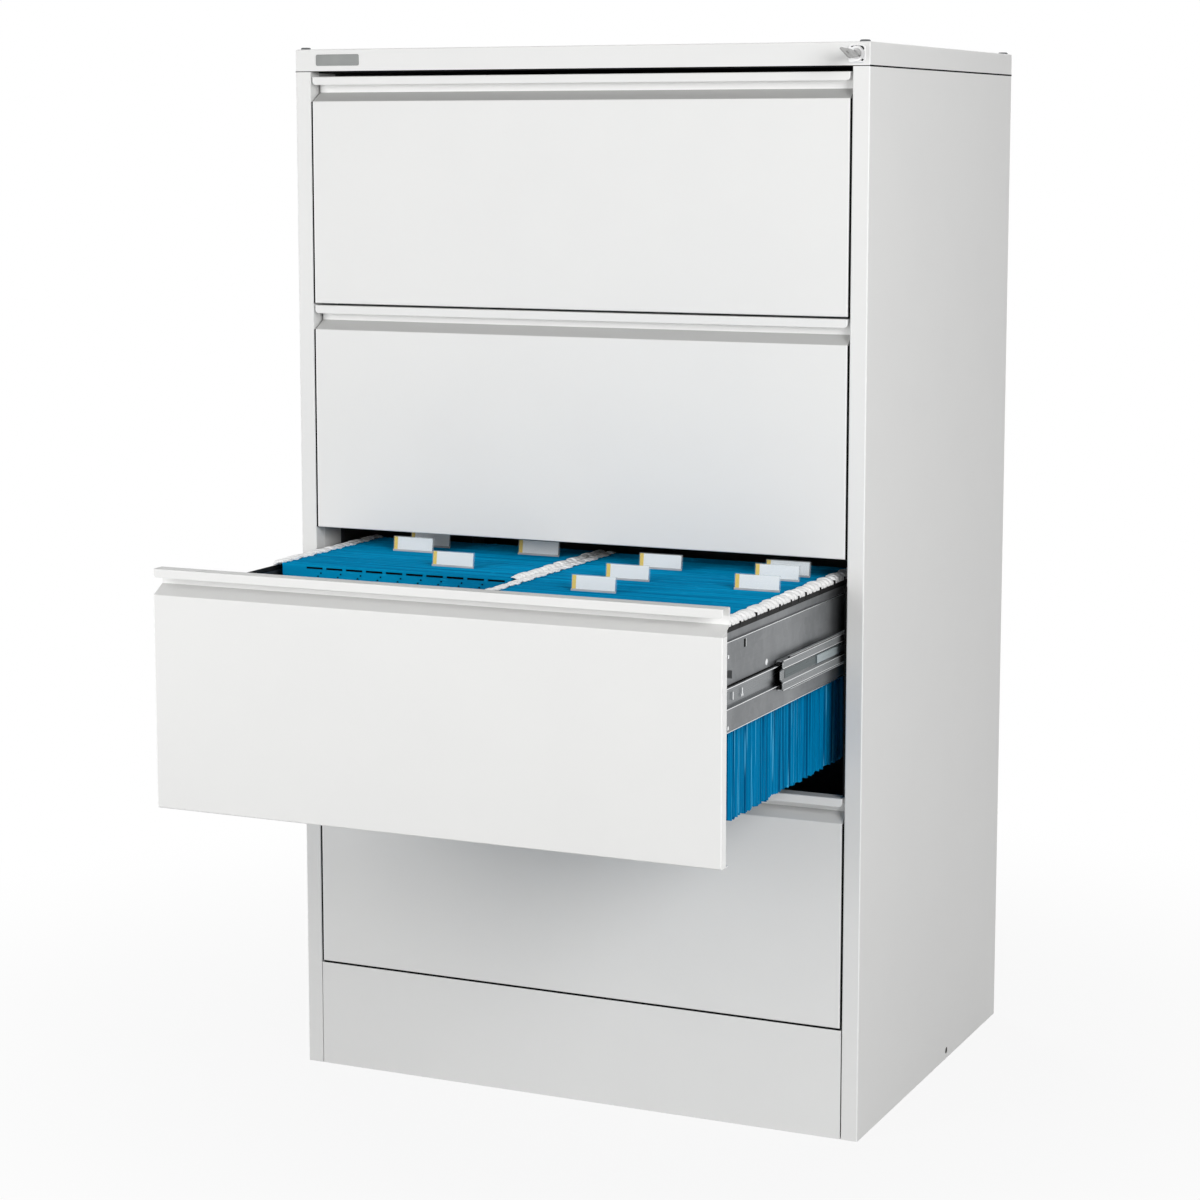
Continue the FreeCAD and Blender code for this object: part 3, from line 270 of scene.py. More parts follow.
@dataclass(frozen=True)
class PowderCoat(Finish):
    """Light grey powder coat: fine orange peel and faint mottling, with a painted highlight on corners and
    front ends, painted shade and light in the grips, and painted shade inside.
    """

    name: str = "light_grey_powder_coat"
    slot: str = "light_grey_paint"
    colour: Colour = (0.80, 0.80, 0.79)
    shade: Colour = (0.792, 0.792, 0.783)
    # bend: paler colour painted on the posts' corners and the fronts' ends as a highlight
    bend: Colour = (0.92, 0.92, 0.915)
    # Dark colour painted inside the carcass as shade.
    inside_shade: Colour = (0.12, 0.12, 0.12)
    # Painted shade on the grips' slanted floors, darker on the upper drawers.
    recess: Colour = (0.66, 0.66, 0.652)
    upper_recess_shade: Colour = (0.465, 0.465, 0.458)
    recess_shade_span: Pair = (705 * MM, 1296 * MM)
    # Paler colour painted on the grips' backs as light under the lips.
    grip_back_light: Colour = (0.97, 0.97, 0.962)
    # Darker colour painted on the lips' top faces as shade.
    lip_top_shade: Colour = (0.56, 0.56, 0.554)
    peel_scale: float = 650.0
    peel_bump: Pair = (0.12, 0.0003)
    mottle_scale: float = 7.0
    mottle_span: Pair = (0.35, 0.65)
    patch_scale: float = 21.0
    gloss: float = 0.38
    gloss_spread: float = 0.05
    corner: Pair = (392.3 * MM, -293.8 * MM)
    front_end: Pair = (367.3 * MM, 369 * MM)
    fronts_from: float = 141.5 * MM
    fronts_to: float = 1326 * MM
    fronts_pitch: float = 295.5 * MM
    grip: tuple[float, float, float, float] = (262 * MM, 274 * MM, 284 * MM, 293.2 * MM)
    grip_from: Pair = (-690.2 * MM, -294.2 * MM)
    grip_depth: float = 20 * MM
    inside_half: float = 393.0 * MM
    inside_span: Pair = (-273.9 * MM, 293.5 * MM)
    inside_to: float = 1356.4 * MM

    def dress(self, sheet: ShaderSheet) -> Wire:
        """Paint with a pebbled skin, a painted highlight on bends, painted shade on the grips' floors and
        lips' tops, painted light on the grips' backs, and painted shade inside.

        Args:
            sheet: The material's sheet.

        Returns:
            The shader.
        """
        place = sheet.place()
        mottle = sheet.noise(place, self.mottle_scale, detail=4.0)
        patches = sheet.noise(place, self.patch_scale, detail=3.0)
        peel = sheet.noise(place, self.peel_scale)
        skin = sheet.mixed(mottle.ramp(*self.mottle_span), self.shade, self.colour)
        axes = sheet.axes(place)
        highlighted = sheet.mixed(self._bends(*axes), skin, self.bend)
        floors, backs, lips = self._grips(*axes)
        # Painted shade on the grips' floors, growing darker with height.
        recess = sheet.mixed(axes[2].ramp(*self.recess_shade_span), self.recess, self.upper_recess_shade)
        lipped = sheet.mixed(lips, sheet.mixed(backs, highlighted, self.grip_back_light), self.lip_top_shade)
        outside = sheet.mixed(floors, lipped, recess)
        return sheet.surface(
            Base_Color=sheet.mixed(self._inside(*axes), outside, self.inside_shade),
            Roughness=self.gloss + self.gloss_spread * patches,
            Normal=sheet.bump(peel, *self.peel_bump),
        )

    def _bends(self, x: Wire, y: Wire, z: Wire) -> Wire:
        """Mark the posts' outer corners and the ends of the drawer fronts, which get a painted highlight.

        Args:
            x: Place across the cabinet.
            y: Place along its depth.
            z: Height.

        Returns:
            One there, else nought.
        """
        away = x.absolute()
        corner = (away > self.corner[0]) * (y < self.corner[1])
        end = (away > self.front_end[0]) * (away < self.front_end[1]) * (y < 0.0)
        end = end * (z > self.fronts_from) * (z < self.fronts_to)
        return corner.larger(end)

    def _grips(self, x: Wire, y: Wire, z: Wire) -> tuple[Wire, Wire, Wire]:
        """Mark the parts of the grips, which repeat with the height of a drawer front, for their painted
        shade and light.

        Args:
            x: Place across the cabinet.
            y: Place along its depth.
            z: Height.

        Returns:
            One on the slanted floors, on the backs and on the lips' tops in turn, else nought.
        """
        above = z.math("FLOORED_MODULO", z - self.fronts_from, self.fronts_pitch)
        open_front, shut_front = ((y > face) * (y < face + self.grip_depth) for face in self.grip_from)
        within = open_front.larger(shut_front) * (x.absolute() < self.front_end[1]) * (z > self.fronts_from)
        foot, bend, head, lip = self.grip
        floors, backs = within * (above > foot) * (above < bend), within * (above > bend) * (above < head)
        return floors, backs, within * (above > lip) * (z < self.fronts_to)

    def _inside(self, x: Wire, y: Wire, z: Wire) -> Wire:
        """One within the carcass, behind the drawer fronts, where dark painted shade goes, else nought."""
        behind = (y > self.inside_span[0]) * (y < self.inside_span[1])
        return behind * (x.absolute() < self.inside_half) * (z < self.inside_to)


@dataclass(frozen=True)
class SheetSteel(Finish):
    """Galvanised sheet: soft spangle and faint lines from the rolling mill."""

    name: str = "galvanised_sheet"
    slot: str = "galvanised_steel"
    bright: Colour = (0.32, 0.33, 0.34)
    dull: Colour = (0.145, 0.154, 0.162)
    spangle_scale: float = 130.0
    line_scale: Point = (500.0, 4.0, 500.0)
    cloud_scale: Point = (4.0, 14.0, 6.0)
    cloud_span: Pair = (0.3, 0.75)
    tone_shares: Point = (0.2, 0.2, 0.6)
    metal: float = 0.85
    gloss: float = 0.34
    gloss_spread: float = 0.16
    line_bump: Pair = (0.05, 0.0002)

    def dress(self, sheet: ShaderSheet) -> Wire:
        """Grains of zinc that differ a little in colour and gloss.

        Args:
            sheet: The material's sheet.

        Returns:
            The shader.
        """
        place = sheet.place()
        grain = sheet.add(
            "ShaderNodeTexVoronoi", sockets={"Vector": place, "Scale": self.spangle_scale}, output="Color"
        )
        spangle = sheet.axes(grain)[0]
        lines = sheet.noise(sheet.stretched(place, self.line_scale))
        cloud = sheet.noise(sheet.stretched(place, self.cloud_scale))
        grains, streaks, clouds = self.tone_shares
        tone = grains * spangle + streaks * lines + clouds * cloud.ramp(*self.cloud_span)
        return sheet.surface(
            Base_Color=sheet.mixed(tone, self.dull, self.bright),
            Metallic=self.metal,
            Roughness=self.gloss + self.gloss_spread * tone,
            Normal=sheet.bump(lines, *self.line_bump),
        )


@dataclass(frozen=True)
class RolledZinc(Finish):
    """Zinc-plated slide steel with drawn lines along its length."""

    name: str = "zinc_plated_slide"
    slot: str = "galvanised_steel"
    bright: Colour = (0.27, 0.285, 0.295)
    dull: Colour = (0.17, 0.182, 0.19)
    line_scale: Point = (900.0, 5.0, 900.0)
    cloud_scale: float = 14.0
    tone_shares: Pair = (0.6, 0.4)
    gloss: float = 0.22
    gloss_spread: float = 0.14
    line_bump: Pair = (0.06, 0.0002)

    def dress(self, sheet: ShaderSheet) -> Wire:
        """Plated steel whose gloss runs in streaks along the slide.

        Args:
            sheet: The material's sheet.

        Returns:
            The shader.
        """
        place = sheet.place()
        lines = sheet.noise(sheet.stretched(place, self.line_scale))
        cloud = sheet.noise(place, self.cloud_scale, detail=3.0)
        streaks, clouds = self.tone_shares
        return sheet.surface(
            Base_Color=sheet.mixed(streaks * lines + clouds * cloud, self.dull, self.bright),
            Metallic=1.0,
            Roughness=self.gloss + self.gloss_spread * lines,
            Normal=sheet.bump(lines, *self.line_bump),
        )


@dataclass(frozen=True)
class PolishedMetal(Finish):
    """Plated or polished metal with a brushed grain across it."""

    name: str
    slot: str
    colour: Colour
    worn: Colour
    gloss: float
    grain_scale: Point = (3000.0, 3000.0, 300.0)
    metal: float = 1.0
    smear_scale: float = 120.0
    smear_span: Pair = (0.3, 0.7)
    gloss_spread: float = 0.12
    grain_bump: Pair = (0.06, 0.0001)

    def dress(self, sheet: ShaderSheet) -> Wire:
        """Fine scratches in one direction and cloudy handling marks.

        Args:
            sheet: The material's sheet.

        Returns:
            The shader.
        """
        place = sheet.place()
        grain = sheet.noise(sheet.stretched(place, self.grain_scale), detail=3.0)
        smear = sheet.noise(place, self.smear_scale, detail=3.0)
        return sheet.surface(
            Base_Color=sheet.mixed(smear.ramp(*self.smear_span), self.worn, self.colour),
            Metallic=self.metal,
            Roughness=self.gloss + self.gloss_spread * grain,
            Normal=sheet.bump(grain, *self.grain_bump),
        )


@dataclass(frozen=True)
class MouldedPlastic(Finish):
    """Moulded plastic with an eroded grain."""

    name: str
    slot: str
    colour: Colour
    shade: Colour
    gloss: float
    shine: float = 0.5
    grain_scale: float = 900.0
    grain_bump: Pair = (0.2, 0.0001)
    cloud_scale: float = 40.0
    cloud_span: Pair = (0.3, 0.7)
    gloss_spread: float = 0.15

    def dress(self, sheet: ShaderSheet) -> Wire:
        """A fine leathery grain, with the gloss broken up by it.

        Args:
            sheet: The material's sheet.

        Returns:
            The shader.
        """
        place = sheet.place()
        grain = sheet.noise(place, self.grain_scale, detail=3.0)
        cloud = sheet.noise(place, self.cloud_scale)
        return sheet.surface(
            Base_Color=sheet.mixed(cloud.ramp(*self.cloud_span), self.shade, self.colour),
            Specular_IOR_Level=self.shine,
            Roughness=self.gloss + self.gloss_spread * grain,
            Normal=sheet.bump(grain, *self.grain_bump),
        )


@dataclass(frozen=True)
class FolderCard(Finish):
    """Blue card: pressed fibres, tone that differs from sheet to sheet, and streaked cut edges."""

    name: str = "blue_folder_card"
    slot: str = "folder_blue"
    colour: Colour = (0.0, 0.29, 0.55)
    shade: Colour = (0.0, 0.17, 0.36)
    worn: Colour = (0.01, 0.36, 0.64)
    edge: Colour = (0.0, 0.26, 0.55)
    edge_shade: Colour = (0.0, 0.12, 0.29)
    streak: Colour = (0.08, 0.50, 0.82)
    fibre_scale: Point = (60.0, 900.0, 400.0)
    fibre_span: Pair = (0.55, 0.9)
    fibre_bump: Pair = (0.15, 0.0002)
    sheet_scale: Point = (3.0, 170.0, 3.0)
    sheet_span: Pair = (0.3, 0.7)
    edge_span: Pair = (0.38, 0.55)
    streak_scale: Point = (4.0, 240.0, 5.0)
    streak_span: Pair = (0.62, 0.68)
    cut_from: Pair = (335.8 * MM, 336.6 * MM)
    shine: float = 0.06
    gloss: float = 0.6
    gloss_spread: float = 0.2

    def dress(self, sheet: ShaderSheet) -> Wire:
        """Card whose tone steps along the row, with fibres along the sheet and streaks down its edges.

        Args:
            sheet: The material's sheet.

        Returns:
            The shader.
        """
        place = sheet.place()
        fibre = sheet.noise(sheet.stretched(place, self.fibre_scale), detail=3.0)
        leaf = sheet.noise(sheet.stretched(place, self.sheet_scale), detail=1.0)
        drawn = sheet.noise(sheet.stretched(place, self.streak_scale))
        tone = sheet.mixed(leaf.ramp(*self.sheet_span), self.shade, self.colour)
        face = sheet.mixed(fibre.ramp(*self.fibre_span), tone, self.worn)
        cut_tone = sheet.mixed(leaf.ramp(*self.edge_span), self.edge_shade, self.edge)
        edge = sheet.mixed(drawn.ramp(*self.streak_span), cut_tone, self.streak)
        cut = sheet.axes(place)[0].absolute().ramp(*self.cut_from)
        return sheet.surface(
            Base_Color=sheet.mixed(cut, face, edge),
            Specular_IOR_Level=self.shine,
            Roughness=self.gloss + self.gloss_spread * fibre,
            Normal=sheet.bump(fibre, *self.fibre_bump),
        )


@dataclass(frozen=True)
class TabPaper(Finish):
    """Paper slip of a label tab: white, with a yellow strip at its left end."""

    name: str = "tab_paper"
    slot: str = "tab_clear"
    colour: Colour = (0.97, 0.97, 0.965)
    strip: Colour = (0.90, 0.62, 0.04)
    strip_share: float = 0.09
    fibre: Colour = (0.6, 0.6, 0.6)
    fibre_share: float = 0.06
    fibre_scale: float = 1500.0
    fibre_bump: Pair = (0.1, 0.0001)
    gloss: float = 0.6
    gloss_spread: float = 0.1

    def dress(self, sheet: ShaderSheet) -> Wire:
        """The strip covers the first share of the slip's own U coordinate; fibres mottle the rest.

        Args:
            sheet: The material's sheet.

        Returns:
            The shader.
        """
        along = sheet.axes(sheet.add("ShaderNodeTexCoord", output="UV"))[0]
        fibre = sheet.noise(sheet.place(), self.fibre_scale, detail=3.0)
        paper = sheet.mixed(along < self.strip_share, self.colour, self.strip)
        return sheet.surface(
            Base_Color=sheet.mixed(self.fibre_share * fibre, paper, self.fibre),
            Roughness=self.gloss + self.gloss_spread * fibre,
            Normal=sheet.bump(fibre, *self.fibre_bump),
        )


@dataclass(frozen=True)
class ClearPlastic(Finish):
    """Thin clear plastic with a faint cool tint and scuffs."""

    name: str = "clear_tab_plastic"
    slot: str = "tab_clear"
    tint: Colour = (0.97, 0.98, 0.985)
    clearness: float = 0.93
    bending: float = 1.49
    scuff_scale: float = 300.0
    gloss: float = 0.08
    gloss_spread: float = 0.2

    def dress(self, sheet: ShaderSheet) -> Wire:
        """Glossy film, mixed with plain transparency; scuffs make it duller.

        Args:
            sheet: The material's sheet.

        Returns:
            The shader.
        """
        scuff = sheet.noise(sheet.place(), self.scuff_scale, detail=4.0)
        rough = self.gloss + self.gloss_spread * scuff
        film = sheet.surface(Base_Color=self.tint, Roughness=rough, IOR=self.bending)
        clear = sheet.add("ShaderNodeBsdfTransparent", sockets={"Color": self.tint})
        return sheet.add("ShaderNodeMixShader", sockets={0: self.clearness, 1: film, 2: clear})


PAINT = PowderCoat()
# The liners' part inside the carcass gets a lighter painted shade.
LINER_PAINT = PowderCoat("liner_powder_coat", inside_shade=(0.72, 0.72, 0.71))
STEEL = SheetSteel()
# Near-black sheet on the top cross beams paints the shade in the gap under the cap.
BEAM_SHADE_STEEL = SheetSteel("beam_painted_shade_sheet", bright=(0.03, 0.03, 0.032), dull=(0.02, 0.02, 0.021))
ZINC = RolledZinc()
# Painted highlight: a lit, near-white copy of the zinc for highlight lines on bends, and for small pressed
# parts and balls.
HIGHLIGHT_ZINC = RolledZinc("painted_highlight_zinc", bright=(0.95, 0.96, 0.97), dull=(0.80, 0.82, 0.83))
BLUE_ZINC = RolledZinc("blue_passivated_zinc", bright=(0.46, 0.52, 0.54), dull=(0.32, 0.38, 0.40))
SHADED_ZINC = RolledZinc("shaded_zinc_step", bright=(0.10, 0.13, 0.135), dull=(0.045, 0.06, 0.065))
CARD = FolderCard()
PAPER = TabPaper()
FILM = ClearPlastic()
CHROME = PolishedMetal(
    "lock_chrome_plate", "lock_chrome", colour=(0.92,) * 3, worn=(0.84,) * 3, gloss=0.12
)
PLATE_CHROME = PolishedMetal(
    "lock_satin_chrome", "lock_chrome", colour=(0.93,) * 3, worn=(0.86,) * 3, gloss=0.25, metal=0.35
)
KEY_METAL = PolishedMetal(
    "key_nickel",
    "key_steel",
    colour=(0.46, 0.46, 0.455),
    worn=(0.30, 0.30, 0.295),
    gloss=0.30,
    grain_scale=(2500.0, 200.0, 2500.0),
)
SCREW_METAL = PolishedMetal(
    "screw_zinc",
    "key_steel",
    colour=(0.55, 0.55, 0.54),
    worn=(0.42, 0.42, 0.41),
    gloss=0.30,
    grain_scale=(900.0,) * 3,
)
BADGE_GREY = MouldedPlastic(
    "badge_satin_grey", "badge_grey", colour=(0.31, 0.32, 0.313), shade=(0.28, 0.29, 0.283), gloss=0.42
)
PLUG_PLASTIC = MouldedPlastic(
    "plug_plastic", "dark_plastic", colour=(0.15, 0.155, 0.16), shade=(0.11, 0.115, 0.12), gloss=0.45
)
RAIL_PLASTIC = MouldedPlastic(
    "rail_plastic", "dark_plastic", colour=(0.010, 0.010, 0.011), shade=(0.006,) * 3, gloss=0.5, shine=0.15
)
# Near-black plastic for pieces that paint shade and shadow where the cabinet has no part.
SHADE_BLACK = MouldedPlastic(
    "painted_shade_black", "dark_plastic", colour=(0.006,) * 3, shade=(0.004,) * 3, gloss=0.7, shine=0.05
)
HOOK_PLASTIC = MouldedPlastic(
    "hook_plastic", "hook_white", colour=(0.98, 0.98, 0.975), shade=(0.95, 0.95, 0.95), gloss=0.35
)
# A real clip foot; its opaque grey is partly painted shade along the pocket's foot.
FOOT_SHADE_PLASTIC = MouldedPlastic(
    "tab_foot_shade_plastic", "tab_clear", colour=(0.46, 0.48, 0.50), shade=(0.38, 0.40, 0.42), gloss=0.3
)
# Near-black patches painted as the shade inside the folders' slots and punched holes.
SLOT_SHADE = MouldedPlastic(
    "folder_slot_shade", "folder_blue", colour=(0.002, 0.005, 0.008), shade=(0.002,) * 3, gloss=0.8, shine=0.0
)


# Surfaces


class Along(Enum):
    """The axis that a straight bar runs along."""

    X = 0
    Y = 1


def added(name: str, data: bpy.types.ID) -> bpy.types.Object:
    """Put a new object into the scene.

    Args:
        name: The object's name.
        data: Its mesh, lamp or camera.

    Returns:
        The object.
    """
    thing = bpy.data.objects.new(name, data)
    bpy.context.scene.collection.objects.link(thing)
    return thing


@dataclass
class Shell:
    """Points and faces of a piece; faces are arrays of point numbers, one row for each face."""

    points: np.ndarray
    faces: list[np.ndarray]
    uv: np.ndarray | None = None

    def joined(self, *others: "Shell") -> "Shell":
        """This shell and others as one.

        Args:
            others: The shells to add.

        Returns:
            The whole, without UV.
        """
        points, faces = [self.points], list(self.faces)
        for other in others:
            shift = sum(map(len, points))
            points.append(other.points)
            faces += [rows + shift for rows in other.faces]
        return Shell(np.concatenate(points), faces)

    def both_sides(self) -> "Shell":
        """This shell and its mirror image across the cabinet."""
        return self.joined(Shell(self.points * (-1, 1, 1), [rows[:, ::-1] for rows in self.faces]))

    def above_and_below(self, level: float) -> "Shell":
        """This shell and its mirror image across a level plane."""
        image = self.points * (1, 1, -1) + (0, 0, 2 * level)
        return self.joined(Shell(image, [rows[:, ::-1] for rows in self.faces]))

    def place(self, name: str, body: str, finish: Finish, replaced: Sequence[str] = ()) -> None:
        """Make the piece, dress it and let it ride.

        Args:
            name: The piece's name.
            body: The body that it moves with.
            finish: Its finish.
            replaced: Solids that it stands for.
        """
        mesh = bpy.data.meshes.new(name)
        rows = [row for block in self.faces for row in block.tolist()]
        mesh.from_pydata(self.points.tolist(), [], rows)
        if self.uv is not None:
            corner = np.zeros(len(mesh.loops), np.int32)
            mesh.loops.foreach_get("vertex_index", corner)
            mesh.uv_layers.new(name="along").data.foreach_set("uv", self.uv[corner].ravel())
        form = bmesh.new()
        form.from_mesh(mesh)
        bmesh.ops.recalc_face_normals(form, faces=form.faces)
        form.to_mesh(mesh)
        form.free()
        mesh.polygons.foreach_set("use_smooth", np.ones(len(mesh.polygons), bool))
        mesh.set_sharp_from_angle(angle=SHARP_ANGLE)
        mesh.materials.append(finish.material())
        piece = added(name, mesh)
        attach(piece, body)
        if replaced:
            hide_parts(*replaced)
        LOG.info("%s rides on %s, %d faces", name, body, len(mesh.polygons))


def swept(rings: np.ndarray, closed: bool = False) -> Shell:
    """Closed tubes from rings of points.

    Point rings[t, s, r] is point r of the ring at station s of tube t. Neighbouring rings are
    joined by quads; the two end rings are each closed by one face, or joined if closed.

    Args:
        rings: The points, in an array of tubes by stations by ring points by 3.
        closed: Whether the last station joins the first.

    Returns:
        The shell of all the tubes.
    """
    tubes, stations, around, _ = rings.shape
    index = np.arange(tubes * stations * around).reshape(tubes, stations, around)
    start = index if closed else index[:, :-1]
    ahead = np.roll(index, -1, axis=1) if closed else index[:, 1:]
    start_beside, ahead_beside = (np.roll(ring, -1, axis=2) for ring in (start, ahead))
    quads = np.stack([start, start_beside, ahead_beside, ahead], axis=-1).reshape(-1, 4)
    caps = [] if closed else [index[:, 0, ::-1], index[:, -1]]
    return Shell(rings.reshape(-1, 3), [quads, *caps])


def bars(sections: ArrayLike, spans: ArrayLike, along: Along) -> Shell:
    """Straight bars: each closed outline is carried from one place to another along an axis.

    Args:
        sections: Outlines in the two other axes, in an array of bars by points by 2.
        spans: First and last place along the axis, of each bar or of all.
        along: The axis.

    Returns:
        The shell of all the bars.
    """
    outlines = np.asarray(sections)
    across = [axis for axis in range(3) if axis != along.value]
    rings = np.empty((len(outlines), 2, outlines.shape[1], 3))
    rings[..., across] = outlines[:, None]
    rings[..., along.value] = np.broadcast_to(spans, (len(outlines), 2))[:, :, None]
    return swept(rings)


def corners(x: ArrayLike, y: ArrayLike, z: ArrayLike) -> np.ndarray:
    """Rows of corners from their X, Y and Z, each an array or one number for all."""
    return np.stack(np.broadcast_arrays(x, y, z), axis=-1)


def blocks(low: ArrayLike, high: ArrayLike) -> Shell:
    """Blocks between pairs of corners: a rectangle carried along X.

    Args:
        low: Lowest corners, one row for each block.
        high: Highest corners.

    Returns:
        The shell of all the blocks.
    """
    low, high = np.atleast_2d(low), np.atleast_2d(high)
    y = np.stack([low[:, 1], high[:, 1], high[:, 1], low[:, 1]], axis=1)
    z = np.stack([low[:, 2], low[:, 2], high[:, 2], high[:, 2]], axis=1)
    spans = np.stack([low[:, 0], high[:, 0]], axis=1)
    return bars(np.stack([y, z], axis=-1), spans, Along.X)


def turns(count: int) -> np.ndarray:
    """Equal steps once around a circle, in radians."""
    return 2 * np.pi * np.arange(count) / count


def round_bars(centres: Sequence[Pair], radius: float, span: Pair) -> Shell:
    """Thin round bars along Y: a circle about each centre, carried over the span.

    Args:
        centres: X and Z of each bar.
        radius: Their radius.
        span: First and last Y.

    Returns:
        The shell of all the bars.
    """
    turn = turns(ROUND_SIDES)
    circle = radius * np.stack([np.cos(turn), np.sin(turn)], axis=1)
    return bars(np.array(centres)[:, None] + circle, span, Along.Y)


def domes(centres: Sequence[Point], radius: float, height: float) -> Shell:
    """Pressed pips: at lift angle a, a ring of radius cos(a) stands sin(a) out along X.

    Args:
        centres: The middle of each pip's foot.
        radius: Radius of the foot.
        height: How far a pip stands out.

    Returns:
        The shell of all the pips.
    """
    lift = np.linspace(0, PIP_LIFT, PIP_RINGS)[:, None]
    turn, ring = turns(PIP_SIDES), radius * np.cos(lift)
    out = corners(height * np.sin(lift), ring * np.cos(turn), ring * np.sin(turn))
    return swept(np.array(centres)[:, None, None] + out)


def node_box(node: str) -> tuple[np.ndarray, np.ndarray]:
    """Lowest and highest corner of a solid at rest."""
    low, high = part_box(node)
    return np.array(low), np.array(high)


# Hanging folders


@dataclass
class FolderRow:
    """One row of hanging folders: sheets of card, folded over a rod along their tops."""

    side: Side
    pitch: float = 12.5 * MM
    gauge: float = 12 * MM
    sheets: int = 4
    card: float = 2.3 * MM
    thinning: float = 0.3
    rod_radius: float = 1.5 * MM
    rod_round: Pair = (0.7, 0.35)
    fold_drop: float = 5 * MM
    stations: int = 5
    wave: float = 0.4 * MM
    sway: float = 0.5 * MM
    sink: float = 1.6 * MM
    sink_shares: Pair = (0.3, 1.0)
    foot_spread: float = 6 * MM
    edge_spread: float = 1.6 * MM
    inner_reach: float = 7.5 * MM
    seed: int = 7

    @property
    def node(self) -> str:
        """The solid that this row stands for."""
        return f"folders_{self.side.name.lower()}"

    def edges(self) -> Pair:
        """Find the ends of the card, which reaches past the solid towards the centre rail.

        Returns:
            Least and greatest X.
        """
        low, high = node_box(self.node)
        inner = self.inner_reach
        return (low[0] - inner, high[0]) if self.side is Side.RIGHT else (low[0], high[0] + inner)

    def starts(self) -> np.ndarray:
        """Find the front of each folder in the row.

        Returns:
            Y of the fronts.
        """
        low, high = node_box(self.node)
        count = round((high[1] - low[1]) / self.pitch)
        return low[1] + self.pitch * np.arange(count)

    def build(self) -> None:
        """Make the sheets of the row as one piece.

        A sheet's cross-section is a strip that swells to the rod at its top; it is carried along X
        on a path that bows in Y as a sine, and each sheet leans, hangs and ends a little differently.
        """
        rng = np.random.default_rng(self.seed + self.side.value)
        low, high = node_box(self.node)
        starts = self.starts()
        count = len(starts) * self.sheets
        within = (np.arange(self.sheets) + 0.5) * self.pitch / self.sheets
        middle = (starts[:, None] + within).ravel()
        rods = np.tile(np.arange(self.sheets) % (self.sheets - 1) == 0, len(starts))
        half = np.full(count, self.card / 2) - rng.uniform(0, self.thinning * self.card, count)
        bulge = np.where(rods, self.rod_radius, half)
        top = high[2] - np.where(rods, 0.0, rng.uniform(*self.sink_shares, count) * self.sink)
        foot = low[2] + rng.uniform(0, self.foot_spread, count)
        lean = rng.uniform(-1, 1, count) * self.sway
        narrow, near_top = self.rod_round
        rising = np.stack([-half, -half, -bulge, -narrow * bulge, 0 * bulge], axis=1)
        across = np.concatenate([rising, -rising[:, -2::-1]], axis=1)
        drop = np.array([np.nan, self.fold_drop, bulge.max(), near_top * bulge.max(), 0.0])
        heights = np.concatenate([drop, drop[-2::-1]])
        upright = np.where(np.isnan(heights), foot[:, None], top[:, None] - heights)
        share = np.linspace(0, 1, self.stations)
        inset = rng.uniform(0, self.edge_spread, (2, count))
        left, right = self.edges()
        x = (left + inset[0])[:, None] * (1 - share) + (right - inset[1])[:, None] * share
        bow = self.wave * np.sin(2 * np.pi * share + rng.uniform(0, 2 * np.pi, (count, 1)))
        hang = (top[:, None] - upright) / (high[2] - low[2])
        y = (middle[:, None] + across + lean[:, None] * hang)[:, None, :] + bow[:, :, None]
        rings = corners(x[:, :, None], y, upright[:, None, :])
        swept(rings).place(f"folder_sheets_{self.side.name.lower()}", FULL_BODY, CARD, [self.node])


@dataclass
class FolderSlots:
    """Slots for label tabs along the first left folder, each with a slanted line of punched dots."""

    row: FolderRow
    first: float = 36 * MM
    pitch: float = 28.6 * MM
    length: float = 22.9 * MM
    height: float = 2.3 * MM
    drop: float = 3.4 * MM
    dots: int = 4
    dot_size: float = 1.7 * MM
    dot_step: Pair = (4.3 * MM, 4.2 * MM)
    dot_start: Pair = (1.5 * MM, 8.0 * MM)
    proud: float = 0.12 * MM

    def build(self) -> None:
        """Lay thin black patches on the front of the folder as painted shade in the slots and punched dots:
        a row of bars, and dots below them.
        """
        low, high = node_box(self.row.node)
        left = np.arange(low[0] + self.first, high[0] - self.length, self.pitch)
        top = high[2] - self.drop
        slots = self._patches(left, np.full(len(left), top - self.height), self.length, self.height)
        number = np.arange(self.dots)
        dot_x = (left + self.length)[:, None] - self.dot_start[0] - number * self.dot_step[0] - self.dot_size
        dot_z = np.broadcast_to(top - self.dot_start[1] - number * self.dot_step[1], dot_x.shape)
        spots = self._patches(dot_x.ravel(), dot_z.ravel(), self.dot_size, self.dot_size)
        slots.joined(spots).place("folder_slots", FULL_BODY, SLOT_SHADE)

    def _patches(self, x: np.ndarray, z: np.ndarray, width: float, height: float) -> Shell:
        """Thin blocks of one size on the card's front, with their lower left corners at x and z.

        Args:
            x: Left edges.
            z: Lower edges.
            width: Size along X.
            height: Size along Z.

        Returns:
            The shell of the patches.
        """
        row = self.row
        face = node_box(row.node)[0][1] + row.pitch / row.sheets / 2 - row.card / 2 - row.wave
        low = corners(x, face - self.proud, z)
        return blocks(low, low + (width, 2 * self.proud + row.wave, height))


